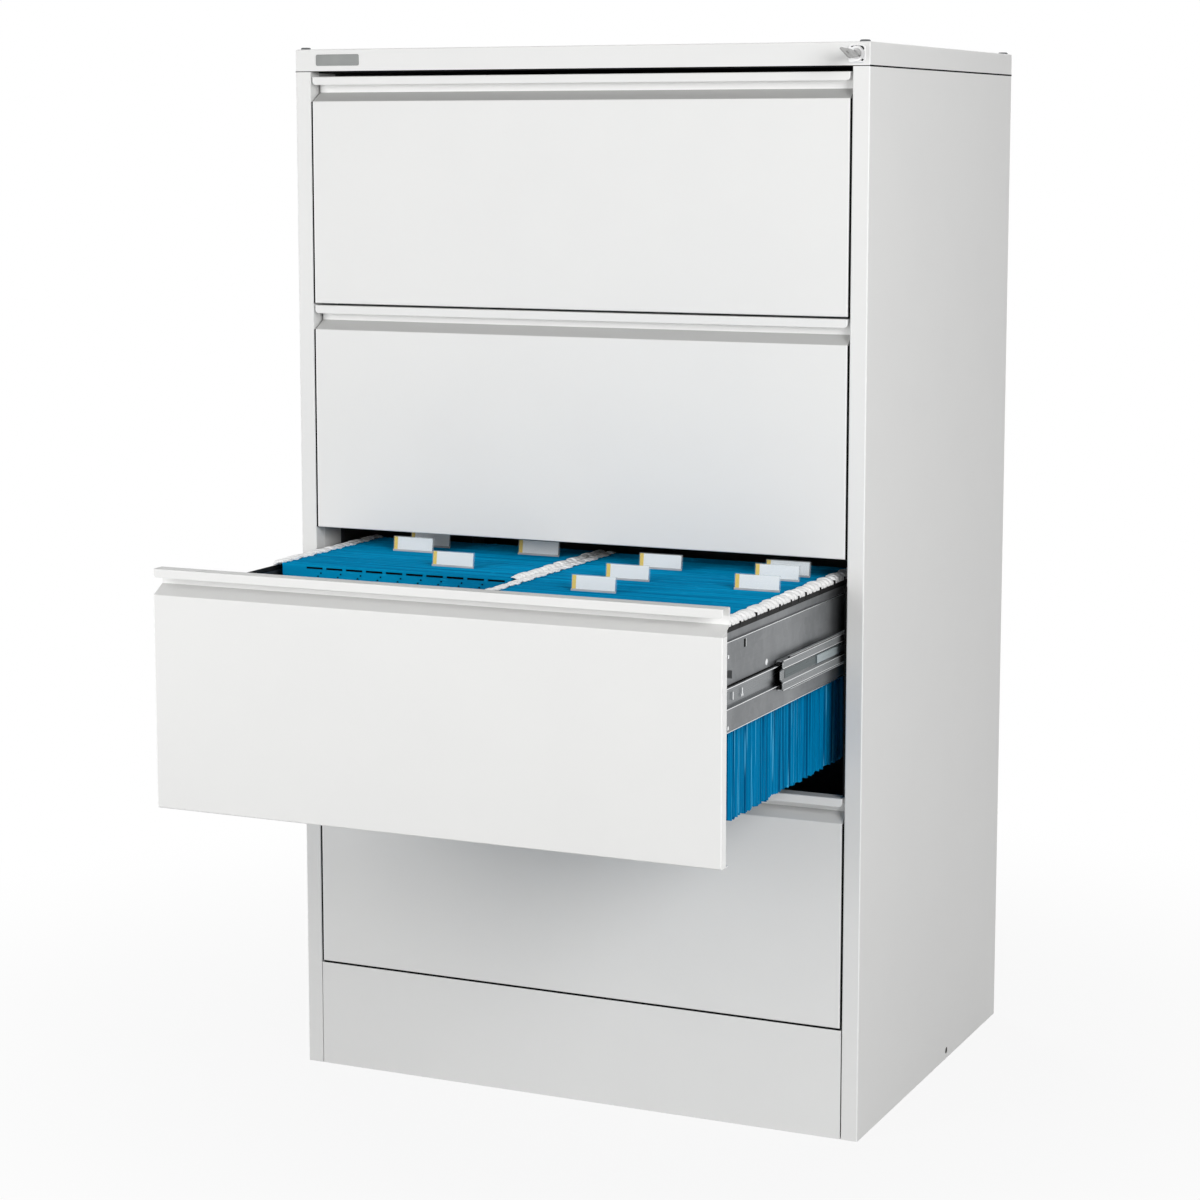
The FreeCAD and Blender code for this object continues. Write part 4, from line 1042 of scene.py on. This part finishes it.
@dataclass
class FolderHooks:
    """White plastic hooks at both ends of every folder, with black stops between some of them."""

    rows: Sequence[FolderRow]
    widths: Pair = (9.4 * MM, 12.1 * MM)
    tip_taper: float = 0.2
    rounding: Pair = (0.72, 0.25)
    crest: float = 1.0 * MM
    root_dip: float = 2.0 * MM
    root_foot: float = 6.0 * MM
    tip_dip: float = 5.0 * MM
    root_spread: float = 4.5 * MM
    root_steps: int = 3
    root_shares: Pair = (0.8, 0.2)
    wobble: float = 1.3 * MM
    outer_tip: float = 352.6 * MM
    inner_tip: float = 1.2 * MM
    outer_foot: float = -0.6 * MM
    inner_foot: float = 0.2 * MM
    stations: int = 8
    stop_steps: tuple[int, int] = (2, 5)
    stop_widths: Pair = (6.0 * MM, 1.6 * MM)
    stop_rises: Pair = (2.5 * MM, 6.5 * MM)
    stop_drop: float = 3.0 * MM
    stop_span: Pair = (350.5 * MM, 353.8 * MM)
    seed: int = 21

    def build(self) -> None:
        """Make all hooks as one piece, from the card's edges to the rails, and all stops as another."""
        rng = np.random.default_rng(self.seed)
        rail = node_box("folder_hooks")[0][2]
        rings = []
        for row in self.rows:
            inner, outer = sorted(np.abs(row.edges()))
            rings.append(self._hooks(rng, row, outer, self.outer_tip, rail + self.outer_foot))
            rings.append(self._hooks(rng, row, inner, self.inner_tip, rail + self.inner_foot))
        swept(np.concatenate(rings)).place("folder_hook_ends", FULL_BODY, HOOK_PLASTIC, ["folder_hooks"])
        stops = [self._stops(rng, row, rail) for row in self.rows]
        stops[0].joined(*stops[1:]).place("hook_stops", FULL_BODY, RAIL_PLASTIC)

    def _stops(self, rng: np.random.Generator, row: FolderRow, rail: float) -> Shell:
        """Pointed stops on a row's outer rail: a trapezium of Y and Z carried along X.

        Args:
            rng: The source of their places and heights.
            row: The row of folders.
            rail: Z of the rail's top.

        Returns:
            The shell of the row's stops.
        """
        starts = row.starts()
        steps = np.cumsum(rng.integers(*self.stop_steps, len(starts)))
        places = starts[steps[steps < len(starts)]] - (row.pitch - row.gauge) / 2
        rise = rng.uniform(*self.stop_rises, len(places))
        foot = np.full(len(places), -self.stop_drop)
        across = np.array([-1, 1, 1, -1]) * np.array(self.stop_widths).repeat(2) / 2
        upright = np.stack([foot, foot, rise, rise], axis=1)
        sections = np.stack([places[:, None] + across, rail + upright], axis=-1)
        return bars(sections, row.side.value * np.array(self.stop_span), Along.X)

    def _hooks(
        self, rng: np.random.Generator, row: FolderRow, root: float, tip: float, foot: float
    ) -> np.ndarray:
        """Rings of the hooks along one edge of a row.

        A hook is a rounded rectangle carried outwards along X. At share s of the way, its top is the
        crest less a dip that fades as (1 - s) cubed and one that grows as s to the fifth, its
        underside falls with the square of s, and its width tapers with the sixth power of s.

        Args:
            rng: The source of the small differences.
            row: The row of folders.
            root: Distance of the card's edge from the middle of the cabinet.
            tip: Distance of the hooks' tips from it.
            foot: Z of the underside at the tip.

        Returns:
            Hooks by stations by ring points by 3.
        """
        middle = row.starts() + row.gauge / 2
        count = len(middle)
        share = np.linspace(0, 1, self.stations)
        stepped, loose = self.root_shares
        step = np.arange(count) % self.root_steps / (self.root_steps - 1)
        tooth = stepped * step + rng.uniform(0, loose, count)
        inset = self.root_spread * tooth[:, None] * np.sign(root - tip)
        x = row.side.value * (root + inset + (tip - root - inset) * share)
        crest = node_box("folder_hooks")[1][2] + self.crest - rng.uniform(0, 1, (count, 1)) * self.wobble
        top = crest - self.root_dip * (1 - share) ** 3 - self.tip_dip * share**5
        underside = foot + self.root_foot * (1 - share**2)
        width = rng.uniform(*self.widths, (count, 1)) * (1 - self.tip_taper * share**6)
        sway = rng.uniform(-0.5, 0.5, count) * self.wobble
        flat, low = self.rounding
        across = np.array([-1, -1, -flat, flat, 1, 1, flat, -flat])
        upright = np.array([low, 1 - low, 1, 1, 1 - low, low, 0, 0])
        y = (middle + sway)[:, None, None] + width[..., None] / 2 * across
        z = underside[:, None] + (top - underside)[..., None] * upright
        return corners(x[..., None], y, z)


@dataclass
class LabelTabs:
    """Clear label tabs on some folders, each with a paper slip and a grey foot, whose grey is partly painted
    shade.
    """

    rows: Sequence[FolderRow]
    places: Sequence[tuple[Side, int, float]]
    width: float = 59 * MM
    height: float = 19 * MM
    slip_inset: float = 1.0 * MM
    slip_end: float = 1.8 * MM
    slip_gauge: float = 0.3 * MM
    film: float = 0.5 * MM
    floor: float = 0.8 * MM
    gap: float = 1.1 * MM
    lean: float = 0.12
    foot: float = 3 * MM
    foot_band: float = 1.8 * MM
    foot_lap: float = 0.7 * MM

    def build(self) -> None:
        """Make the slips, the holders and their feet as one piece each."""
        self._slips()
        self._holders()
        self._feet()

    def _carried(self, outline: Sequence[Pair], ends: Pair) -> Shell:
        """One cross-section on each tab, leaned back in proportion to its height and carried along X.

        Args:
            outline: Y and Z of its points from the tab's foot.
            ends: First and last X from the tab's middle.

        Returns:
            The shell of all the tabs.
        """
        rows = {row.side: row for row in self.rows}
        middles = {row.side: sum(corner[0] for corner in node_box(row.node)) / 2 for row in self.rows}
        x = np.array([middles[side] + offset * MM for side, _, offset in self.places])
        y = np.array([rows[side].starts()[number] + rows[side].gauge / 2 for side, number, _ in self.places])
        feet = np.stack([y, np.full(len(y), node_box("label_tabs")[0][2])], axis=1)
        points = np.array(outline)
        points[:, 0] += self.lean * points[:, 1]
        return bars(feet[:, None] + points, x[:, None] + ends, Along.X)

    def _slips(self) -> None:
        """Paper slips, short of the right end; U runs from nought at the left end to one."""
        thin = self.slip_gauge / 2
        low, high = self.foot_band, self.height - self.slip_inset
        outline = [(-thin, low), (thin, low), (thin, high), (-thin, high)]
        shell = self._carried(outline, (self.slip_inset - self.width / 2, self.width / 2 - self.slip_end))
        along = np.tile(np.repeat([0.0, 1.0], len(outline)), len(self.places))
        shell.uv = np.stack([along, np.zeros_like(along)], axis=1)
        shell.place("tab_slips", FULL_BODY, PAPER)

    def _holders(self) -> None:
        """Clear pockets: a narrow U that is open at its top, carried along X."""
        inner, outer = self.gap / 2, self.gap / 2 + self.film
        outline = [
            (-outer, 0.0),
            (outer, 0.0),
            (outer, self.height),
            (inner, self.height),
            (inner, self.floor),
            (-inner, self.floor),
            (-inner, self.height),
            (-outer, self.height),
        ]
        shell = self._carried(outline, (-self.width / 2, self.width / 2))
        shell.place("tab_holders", FULL_BODY, FILM, ["label_tabs"])

    def _feet(self) -> None:
        """Grey feet that clip the pockets into the card, their grey partly painted shade along the foot: a
        bar around each pocket's lower edge.
        """
        reach = self.gap / 2 + self.foot_lap
        low, high = -self.foot, self.foot_band
        outline = [(-reach, low), (reach, low), (reach, high), (-reach, high)]
        shell = self._carried(outline, (-self.width / 2, self.width / 2 - self.slip_inset))
        shell.place("tab_feet", FULL_BODY, FOOT_SHADE_PLASTIC)


# Drawers


@dataclass
class HangingRails:
    """Black edging on top of both sides of a drawer, with a moulded front end."""

    number: int
    band_face: float = 353 * MM
    band_gauge: float = 1 * MM
    height: float = 5.2 * MM
    shoulder_drop: float = 1.04 * MM
    overhang: float = 1.4 * MM
    lap: float = 0.4 * MM
    crown: float = 0.6 * MM
    room: float = 3 * MM
    end_widths: Pair = (17 * MM, 5 * MM)
    end_drop: float = 7 * MM
    end_rise: float = 4 * MM

    def build(self) -> None:
        """Make the edging and its front ends as one piece: outlines carried along Y and along X."""
        low, high = node_box(f"drawer_side_left_{self.number}")
        inner, outer = self.band_face - self.band_gauge - self.overhang, self.band_face + self.lap
        foot, shoulder, top = high[2] - self.height, high[2] - self.shoulder_drop, high[2] + self.crown
        section = [
            (inner, foot),
            (outer, foot),
            (outer, shoulder),
            (outer - self.lap, top),
            (inner + self.lap, top),
            (inner, shoulder),
        ]
        start = low[1] + self.room
        edging = bars([section], (start, high[1] - self.room), Along.Y)
        outline = [
            (start, high[2] - self.end_drop),
            (start + self.end_widths[0], foot),
            (start + self.end_widths[1], high[2] + self.end_rise),
            (start, high[2] + self.end_rise),
        ]
        front = bars([outline], (inner, outer + self.lap), Along.X)
        shell = edging.joined(front).both_sides()
        shell.place(f"hanging_edge_{self.number}", f"drawer_{self.number}", RAIL_PLASTIC)


@dataclass
class SideTrim:
    """Highlight lines along the bends, pips, lanced tabs and a slot rim in painted-highlight zinc, and
    painted shade in a slot and along the slides, on the sheet sides of a drawer.
    """

    number: int
    room: float = 1 * MM
    bend_radius: float = 0.55 * MM
    sunk: float = 0.165 * MM
    band_height: float = 15 * MM
    pip_place: Pair = (146 * MM, 57 * MM)
    pip_radius: float = 4 * MM
    pip_height: float = 0.8 * MM
    tab_place: float = 22 * MM
    tab_drops: Pair = (33 * MM, 114 * MM)
    tab_size: Point = (1.4 * MM, 4 * MM, 4 * MM)
    slot_span: Pair = (74.0 * MM, 80.0 * MM)
    slot_drops: Pair = (28 * MM, 18.5 * MM)
    slot_rim: float = 1.2 * MM
    # seam: radius of the black bars that paint shadow lines above and below the inner slide
    seam: float = 0.8 * MM
    seam_rise: float = 0.56 * MM

    def build(self) -> None:
        """Make the trim of both sides, with its places taken from the sheet's front and top."""
        low, high = node_box(f"drawer_side_left_{self.number}")
        face, front, top = -low[0], low[1], high[2]
        body, back, out = f"drawer_{self.number}", face - self.sunk, face + self.sunk
        lines = [(back, top - self.band_height - self.sunk), (back, low[2] + self.sunk)]
        bends = round_bars(lines, self.bend_radius, (front + self.room, high[1] - self.room))
        pip_along, pip_drop = self.pip_place
        pips = domes([(face, front + pip_along, top - pip_drop)], self.pip_radius, self.pip_height)
        tab_low = corners(face, front + self.tab_place, top - np.array(self.tab_drops))
        tabs = blocks(tab_low, tab_low + self.tab_size)
        start, end = (front + place for place in self.slot_span)
        foot, head = (top - drop for drop in self.slot_drops)
        rim = blocks((back, end, foot), (out, end + self.slot_rim, head))
        bends.joined(pips, tabs, rim).both_sides().place(f"side_trim_{self.number}", body, HIGHLIGHT_ZINC)
        # Painted shade: a black block filling the slot, and black bars as painted shadow lines along the
        # inner slide.
        slot = blocks((back, start, foot), (face + self.sunk / 2, end, head))
        slide_low, slide_high = node_box(f"slide_inner_{self.number}")
        rows = [(face, slide_high[2] + self.seam_rise), (face, slide_low[2] - self.seam_rise)]
        seam_shadows = round_bars(rows, self.seam, (slide_low[1], slide_high[1]))
        slot.joined(seam_shadows).both_sides().place(f"side_slot_shades_{self.number}", body, SHADE_BLACK)


@dataclass
class SlideTrim:
    """Small parts of a drawer's slides on both sides: lugs, ball cages, plates, painted highlight lines on
    bends and a floor of painted shade.
    """

    number: int
    gauge: float = 1.2 * MM
    bend_radius: float = 0.62 * MM
    flange_depth: float = 9 * MM
    flange_lip: float = 5 * MM
    step_half: float = 8.7 * MM
    step_depth: float = 3 * MM
    lug_places: Pair = (27 * MM, 55 * MM)
    lug_size: Point = (2.0 * MM, 2.4 * MM, 9 * MM)
    lug_drop: float = 4 * MM
    splay: Pair = (1.92 * MM, 0.72 * MM)
    splay_height: float = 2.88 * MM
    plate_start: float = 118 * MM
    plate_end: float = 9 * MM
    plate_half: float = 5 * MM
    plate_gauge: float = 1.4 * MM
    shade_start: float = 12 * MM
    shade_gauge: float = 0.35 * MM
    cage_span: Pair = (25 * MM, 330 * MM)
    cage_rise: Pair = (0.1 * MM, 2.4 * MM)
    cage_inset: Pair = (4.0 * MM, 0.3 * MM)
    cage_pitch: float = 3.1 * MM
    ball_width: float = 1.3 * MM
    end_reach: float = 4 * MM
    end_length: float = 60 * MM
    end_across: Pair = (7.5 * MM, 4.5 * MM)
    end_above: Pair = (12.6 * MM, 15.9 * MM)

    @property
    def body(self) -> str:
        """The body of the middle members, which is also their solid's name."""
        return f"slide_middle_{self.number}"

    @property
    def axis(self) -> float:
        """Z of the slides' middle line."""
        low, high = node_box(self.body)
        return (low[2] + high[2]) / 2

    def build(self) -> None:
        """Make the small parts of the inner and of the middle members."""
        self._inner()
        self._middle()
        self._cages()

    def _inner(self) -> None:
        """Lanced lugs on the web of the inner member, the second with splayed feet, and painted highlight
        lines on its flanges, all in painted-highlight zinc.
        """
        low, high = node_box(f"slide_inner_{self.number}")
        web = -node_box(f"drawer_side_left_{self.number}")[0][0] + self.gauge
        lug_low = corners(web, low[1] + np.array(self.lug_places), self.axis - self.lug_drop)
        lugs = blocks(lug_low, lug_low + self.lug_size)
        beside, below = self.splay
        feet = lug_low[1] + corners(0.0, (-beside, beside), -below)
        splayed = blocks(feet, feet + (*self.lug_size[:2], self.splay_height))
        line = [(high[0] - self.bend_radius / 2, high[2] - self.bend_radius / 2)]
        bends = round_bars(line, self.bend_radius, (low[1], high[1])).above_and_below(self.axis)
        shell = lugs.joined(splayed, bends).both_sides()
        shell.place(f"slide_lugs_{self.number}", f"drawer_{self.number}", HIGHLIGHT_ZINC)

    def _middle(self) -> None:
        """Painted highlight lines on the bends and a front rim of the middle member, and a plate and a floor
        of painted shade in its step.
        """
        low, high = node_box(self.body)
        out, top, front, axis = high[0], high[2], low[1], self.axis
        near, far = front - self.bend_radius, front + self.bend_radius
        edge, deep, ledge = out - self.bend_radius / 2, out - self.flange_depth, axis + self.step_half
        lines = [(edge, top - self.bend_radius / 2), (edge, ledge)]
        bends = round_bars(lines, self.bend_radius, (front, high[1]))
        rim = blocks(
            corners((deep, out - self.gauge, deep), near, (top - self.gauge, ledge, top - self.flange_lip)),
            corners((out, out, deep + self.gauge), far, top),
        )
        step, foot, head = out - self.step_depth, axis - self.plate_half, axis + self.plate_half
        web = blocks((step - self.gauge, near, foot), (step, far, head))
        shell = bends.joined(rim).above_and_below(axis).joined(web).both_sides()
        shell.place(f"slide_bend_highlights_{self.number}", self.body, HIGHLIGHT_ZINC)
        start = front + self.plate_start
        plate = blocks((step, start, foot), (step + self.plate_gauge, high[1] - self.plate_end, head))
        plate.both_sides().place(f"slide_plates_{self.number}", self.body, BLUE_ZINC)
        shade = blocks((step, front + self.shade_start, foot), (step + self.shade_gauge, start, head))
        shade.both_sides().place(f"slide_steps_{self.number}", self.body, SHADED_ZINC)

    def _cages(self) -> None:
        """Ball cages: dark strips above and below the middle member, with a row of balls in
        painted-highlight zinc on each.
        """
        low, high = node_box(self.body)
        out, front, axis = high[0], low[1], self.axis
        left, right = (out - inset for inset in self.cage_inset)
        foot, head = (high[2] + rise for rise in self.cage_rise)
        start, end = (front + place for place in self.cage_span)
        end_left, end_right = (out - across for across in self.end_across)
        end_foot, end_head = (axis + above for above in self.end_above)
        strips = blocks(
            [(left, start, foot), (end_left, front - self.end_reach, end_foot)],
            [(right, end, (foot + head) / 2), (end_right, front + self.end_length, end_head)],
        )
        strips.above_and_below(axis).both_sides().place(f"ball_cages_{self.number}", self.body, RAIL_PLASTIC)
        places = np.arange(start, end - self.ball_width, self.cage_pitch)
        balls = blocks(corners(left, places, foot), corners(right, places + self.ball_width, head))
        balls.above_and_below(axis).both_sides().place(f"cage_balls_{self.number}", self.body, HIGHLIGHT_ZINC)


# Cap and posts


@dataclass
class Badge:
    """Bare rounded plate on the cap, with a bevelled rim."""

    corner: float = 2.2 * MM
    bevel: float = 0.45 * MM
    bevel_share: float = 0.3
    around: int = 40

    def build(self) -> None:
        """Carry a rounded rectangle forwards from the cap and draw it in at the rim.

        At turn t, the outline is a corner circle's cosine and sine, moved out to the corner's centre
        by the sign of each.
        """
        low, high = node_box("badge_plate")
        turn = turns(self.around) + np.pi / self.around
        way = np.stack([np.cos(turn), np.sin(turn)], axis=1)
        half = (high - low)[[0, 2]] / 2
        inset = np.array([0.0, 0.0, self.bevel_share, 1.0]) * self.bevel
        y = np.array([high[1], low[1] + self.bevel, low[1] + self.bevel_share * self.bevel, low[1]])
        flat = np.sign(way) * (half - self.corner) + (self.corner - inset)[:, None, None] * way
        x, z = np.moveaxis(flat + ((low + high) / 2)[[0, 2]], -1, 0)
        swept(corners(x, y[:, None], z)[None]).place("badge", "carcass", BADGE_GREY, ["badge_plate"])


@dataclass
class LockPlate:
    """Square chrome plate around the lock, dished to a round seat, with painted dark reflections and shade
    in its corners.
    """

    squareness: float = 6.0
    seat: float = 9.6 * MM
    bore: float = 8.2 * MM
    rim: float = 0.4 * MM
    rim_width: float = 0.64 * MM
    dish: float = 0.35 * MM
    around: int = 64
    shades: tuple[Pair, ...] = ((56.0, 28.0), (110.0, 20.0), (-46.0, 8.0))
    shade_reach: float = 0.86
    shade_proud: float = 0.04 * MM
    shade_steps: int = 9

    def build(self) -> None:
        """Carry the plate's profile once around the lock, then lay in the shaded corners."""
        low, high = node_box("lock_plate")
        turn = turns(self.around)
        edge, circle = self._edge(turn), np.ones(self.around)
        outer, inner = [edge, edge, edge - self.rim_width], [self.seat * circle] + 2 * [self.bore * circle]
        front, seat = low[1], low[1] + self.dish
        y = np.array([high[1], front + self.rim, front, seat, seat + self.dish / 2, high[1]])
        rings = self._rings(np.stack(outer + inner, axis=1), turn, y)
        swept(rings, closed=True).place("lock_escutcheon", "carcass", PLATE_CHROME, ["lock_plate"])
        self._shade()

    def _edge(self, turn: np.ndarray) -> np.ndarray:
        """Work out the plate's outline, a superellipse: half / (|cos t|^n + |sin t|^n)^(1/n) at turn t.

        Args:
            turn: The turns.

        Returns:
            Radius of the outline at each turn.
        """
        low, high = node_box("lock_plate")
        power, half = self.squareness, (high[0] - low[0]) / 2
        return half / (np.abs(np.cos(turn)) ** power + np.abs(np.sin(turn)) ** power) ** (1 / power)

    @staticmethod
    def _rings(radii: np.ndarray, turn: np.ndarray, y: np.ndarray) -> np.ndarray:
        """Rings of one profile about the lock's axis.

        Args:
            radii: Radius of each profile point at each turn.
            turn: The turns.
            y: Y of the profile points.

        Returns:
            One tube by turns by profile points by 3.
        """
        middle = sum(node_box("lock_plate")) / 2
        x, z = middle[0] + radii * np.cos(turn)[:, None], middle[2] + radii * np.sin(turn)[:, None]
        return corners(x, y, z)[None]

    def _shade(self) -> None:
        """Painted dark reflection and shade in the dish's corners: black wedges between the seat and the
        plate's outline.
        """
        front = node_box("lock_plate")[0][1] - self.shade_proud
        y = np.array([front + self.dish, front + self.dish, front, front])
        shells = []
        for middle, spread in self.shades:
            turn = np.radians(np.linspace(middle - spread, middle + spread, self.shade_steps))
            out, inside = self.shade_reach * self._edge(turn), np.full(len(turn), self.seat)
            shells.append(swept(self._rings(np.stack([inside, out, out, inside], axis=1), turn, y)))
        shells[0].joined(*shells[1:]).place("lock_corner_shade", "carcass", SHADE_BLACK)


@dataclass
class CapSeamShade:
    """Painted shade: a black strip in the gap between the cap and the tops of the sides."""

    inset: float = 0.4 * MM
    proud: float = 0.12 * MM
    depth: float = 1.6 * MM
    lap: float = 0.2 * MM
    side_lap: float = 0.5 * MM

    def build(self) -> None:
        """Lay a strip along each side, over its edge, and one across the top of each front post, to paint
        the gap's shade.
        """
        side_low, side_high = node_box("side_panel_right")
        cap_low, _ = node_box("top_panel")
        foot, head, over = side_high[2] - self.lap, cap_low[2] + self.lap, self.side_lap - self.lap
        out, front, rear = side_high[0] - self.inset, side_low[1] + self.inset, side_high[1] - self.inset
        low = [(out - self.depth, front, foot - over), (side_low[0] + self.lap, front, foot)]
        high = [(side_high[0] + self.proud, rear, head + over), (out, front + self.depth, head)]
        blocks(low, high).both_sides().place("cap_seam_shade", "carcass", SHADE_BLACK)


@dataclass
class PostLiners:
    """Painted sheet behind both front posts, between the slides, and black strips of painted shade in the
    gaps around the fronts.
    """

    proud: float = 0.25 * MM
    gauge: float = 0.4 * MM
    span: Pair = (20.5 * MM, 64 * MM)
    gap_shade_span: Pair = (1.2 * MM, 8 * MM)
    gap_shade_width: float = 2.6 * MM
    gap_shade_height: float = 261 * MM
    room: float = 1.5 * MM
    gap_shade_room: float = 0.4 * MM

    def build(self) -> None:
        """Lay a strip of sheet into each gap between the outer slide members, then the black strips of
        painted shade.
        """
        post, front, _ = node_box("side_panel_right")[0]
        face = post - self.proud
        slides = sorted((node_box(f"slide_outer_{number}") for number in DRAWERS), key=lambda box: box[0][2])
        plinth, beams = node_box("plinth_panel")[1][2], node_box("top_cross_beams")[0][2]
        feet = np.array([plinth] + [slide[1][2] for slide in slides]) + self.room
        heads = np.array([slide[0][2] for slide in slides] + [beams]) - self.room
        near, far = (front + place for place in self.span)
        liners = blocks(corners(face - self.gauge, near, feet), corners(face, far, heads))
        liners.both_sides().place("post_liners", "carcass", LINER_PAINT)
        fronts = [node_box(f"drawer_front_{number}") for number in DRAWERS]
        foot, end = np.array([low[2] for low, _ in fronts]), fronts[-1][1][0]
        near, far = (front + place for place in self.gap_shade_span)
        gap_shade_low = corners(post - self.gap_shade_width, near, foot)
        beside = blocks(gap_shade_low, corners(post, far, foot + self.gap_shade_height)).both_sides()
        beneath = blocks((-end, near, plinth), (end, far, foot.min() - self.gap_shade_room))
        beside.joined(beneath).place("gap_shades", "carcass", SHADE_BLACK)


# Finishes of the solids


@dataclass(frozen=True)
class SolidFinishes:
    """Which finish each carried-over solid gets, by the start of its name; the first match counts."""

    starts: tuple[tuple[Finish, tuple[str, ...]], ...] = (
        (PAINT, ("side_panel", "back_panel", "top_panel", "plinth_panel", "base_panel")),
        (PAINT, ("drawer_front", "drawer_inner_panel")),
        (SCREW_METAL, ("slide_screws", "lock_nut")),
        (PLATE_CHROME, ("lock_barrel",)),
        (STEEL, ("drawer_side", "drawer_back", "slide_uprights", "lock_bar")),
        (ZINC, ("slide_", "lock_cam")),
        (CHROME, ("lock_",)),
        (KEY_METAL, ("key",)),
        (BEAM_SHADE_STEEL, ("top_cross_beams",)),
        (RAIL_PLASTIC, ("centre_rail",)),
        (PLUG_PLASTIC, ("corner_plugs",)),
        (BADGE_GREY, ("badge_plate",)),
        (CARD, ("folder",)),
        (FILM, ("label_tabs",)),
    )

    def dress(self) -> None:
        """Give every solid of the frame its material."""
        for name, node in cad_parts.items():
            finish = next(finish for finish, starts in self.starts if name.startswith(starts))
            node.data.materials.clear()
            node.data.materials.append(finish.material())
            LOG.info("%s is %s", name, finish.name)


# Studio


@dataclass
class Lamp:
    """A soft square lamp aimed at a point."""

    name: str
    place: Point
    target: Point
    size: float
    power: float

    def build(self) -> None:
        """Make the lamp and turn it to its target."""
        data = bpy.data.lights.new(self.name, "AREA")
        data.shape = "SQUARE"
        data.size = self.size
        data.energy = self.power
        lamp = added(self.name, data)
        way = np.array(self.target) - np.array(self.place)
        lamp.location = self.place
        lamp.visible_camera = False
        lamp.visible_glossy = False
        lamp.rotation_euler = (
            math.atan2(math.hypot(way[0], way[1]), -way[2]),
            0.0,
            math.atan2(way[1], way[0]) - math.pi / 2,
        )


@dataclass
class Studio:
    """White floor and background, soft lamps, and the camera of the photograph's view."""

    floor_half: float = 12.0
    clear_radius: Pair = (0.45, 1.5)
    shadow_share: float = 0.10
    floor_colour: Colour = (0.48, 0.48, 0.48)
    ambient: float = 0.195
    lamps: tuple[Lamp, ...] = (
        Lamp("near_lamp", (-1.2, -2.4, 1.4), (0.0, -0.4, 0.9), 1.4, 22.0),
        Lamp("low_lamp", (-1.6, -3.4, 0.8), (0.0, -0.3, 0.8), 1.4, 14.5),
        Lamp("side_lamp", (2.6, -2.2, 1.9), (0.4, 0.0, 0.9), 1.4, 62.0),
        Lamp("level_lamp", (2.6, -2.6, 1.0), (0.3, 0.0, 0.8), 1.4, 12.0),
        Lamp("rear_lamp", (-2.3, 2.5, 1.7), (0.0, 0.0, 0.7), 1.6, 46.0),
        Lamp("top_lamp", (0.0, 1.2, 3.0), (0.0, 0.1, 1.3), 1.6, 26.0),
    )
    camera_place: Point = (1.535, -3.5862, 1.2407)
    camera_turn: Point = (82.338, 0.0, 24.417)
    camera_sensor: float = 36.0
    camera_lens: float = 86.52
    camera_shift: float = -0.06

    def build(self) -> None:
        """Make the whole studio."""
        self._floor()
        self._world()
        for lamp in self.lamps:
            lamp.build()
        self._camera()
        bpy.context.scene.view_settings.view_transform = "Standard"

    @staticmethod
    def _seen(sheet: ShaderSheet) -> Wire:
        """One where the camera, a mirror or glass looks, else nought."""
        path = sheet.add("ShaderNodeLightPath", output="Is Camera Ray")
        return path.larger(path.other("Is Glossy Ray")).larger(path.other("Is Transmission Ray"))

    def _floor(self) -> None:
        """A flat square that keeps the shadow near the cabinet and is plain white further out."""
        half = self.floor_half
        mesh = bpy.data.meshes.new("studio_floor")
        square = [(-half, -half, 0), (half, -half, 0), (half, half, 0), (-half, half, 0)]
        mesh.from_pydata(square, [], [(0, 1, 2, 3)])
        material = bpy.data.materials.new("studio_floor")
        material.use_nodes = True
        sheet = ShaderSheet(material.node_tree)
        length = {"operation": "LENGTH"}
        radius = sheet.add("ShaderNodeVectorMath", length, {0: sheet.place()}, output="Value")
        far = 1 - self.shadow_share + self.shadow_share * radius.ramp(*self.clear_radius)
        seen = self._seen(sheet)
        matt = sheet.add("ShaderNodeBsdfDiffuse", sockets={"Color": self.floor_colour})
        white = sheet.add("ShaderNodeEmission", sockets={"Color": WHITE, "Strength": 1.0})
        sheet.finish(sheet.add("ShaderNodeMixShader", sockets={0: far * seen, 1: matt, 2: white}))
        mesh.materials.append(material)
        added("studio_floor", mesh)

    def _world(self) -> None:
        """White where the camera or a mirror sees it, and a plain grey light elsewhere."""
        world = bpy.data.worlds.new("studio")
        bpy.context.scene.world = world
        world.use_nodes = True
        sheet = ShaderSheet(world.node_tree)
        seen = self._seen(sheet)
        light, white = (
            sheet.add("ShaderNodeBackground", sockets={"Color": WHITE, "Strength": strength})
            for strength in (self.ambient, 1.0)
        )
        shader = sheet.add("ShaderNodeMixShader", sockets={0: seen, 1: light, 2: white})
        sheet.add("ShaderNodeOutputWorld", sockets={"Surface": shader})

    def _camera(self) -> None:
        """The camera, with no depth of field."""
        data = bpy.data.cameras.new("camera")
        data.sensor_width = self.camera_sensor
        data.lens = self.camera_lens
        data.shift_y = self.camera_shift
        camera = added("camera", data)
        camera.location = self.camera_place
        camera.rotation_euler = tuple(math.radians(turn) for turn in self.camera_turn)
        bpy.context.scene.camera = camera


def main() -> None:
    """Build the studio, dress the solids and add every new piece."""
    logging.basicConfig(level=logging.INFO, format="%(message)s")
    Studio().build()
    SolidFinishes().dress()
    left, right = FolderRow(Side.LEFT), FolderRow(Side.RIGHT)
    left.build()
    right.build()
    FolderSlots(left).build()
    FolderHooks((left, right)).build()
    LabelTabs((left, right), TAB_PLACES).build()
    for number in DRAWERS:
        HangingRails(number).build()
        SideTrim(number).build()
        SlideTrim(number).build()
    Badge().build()
    LockPlate().build()
    CapSeamShade().build()
    PostLiners().build()


if __name__ == "__main__":
    main()
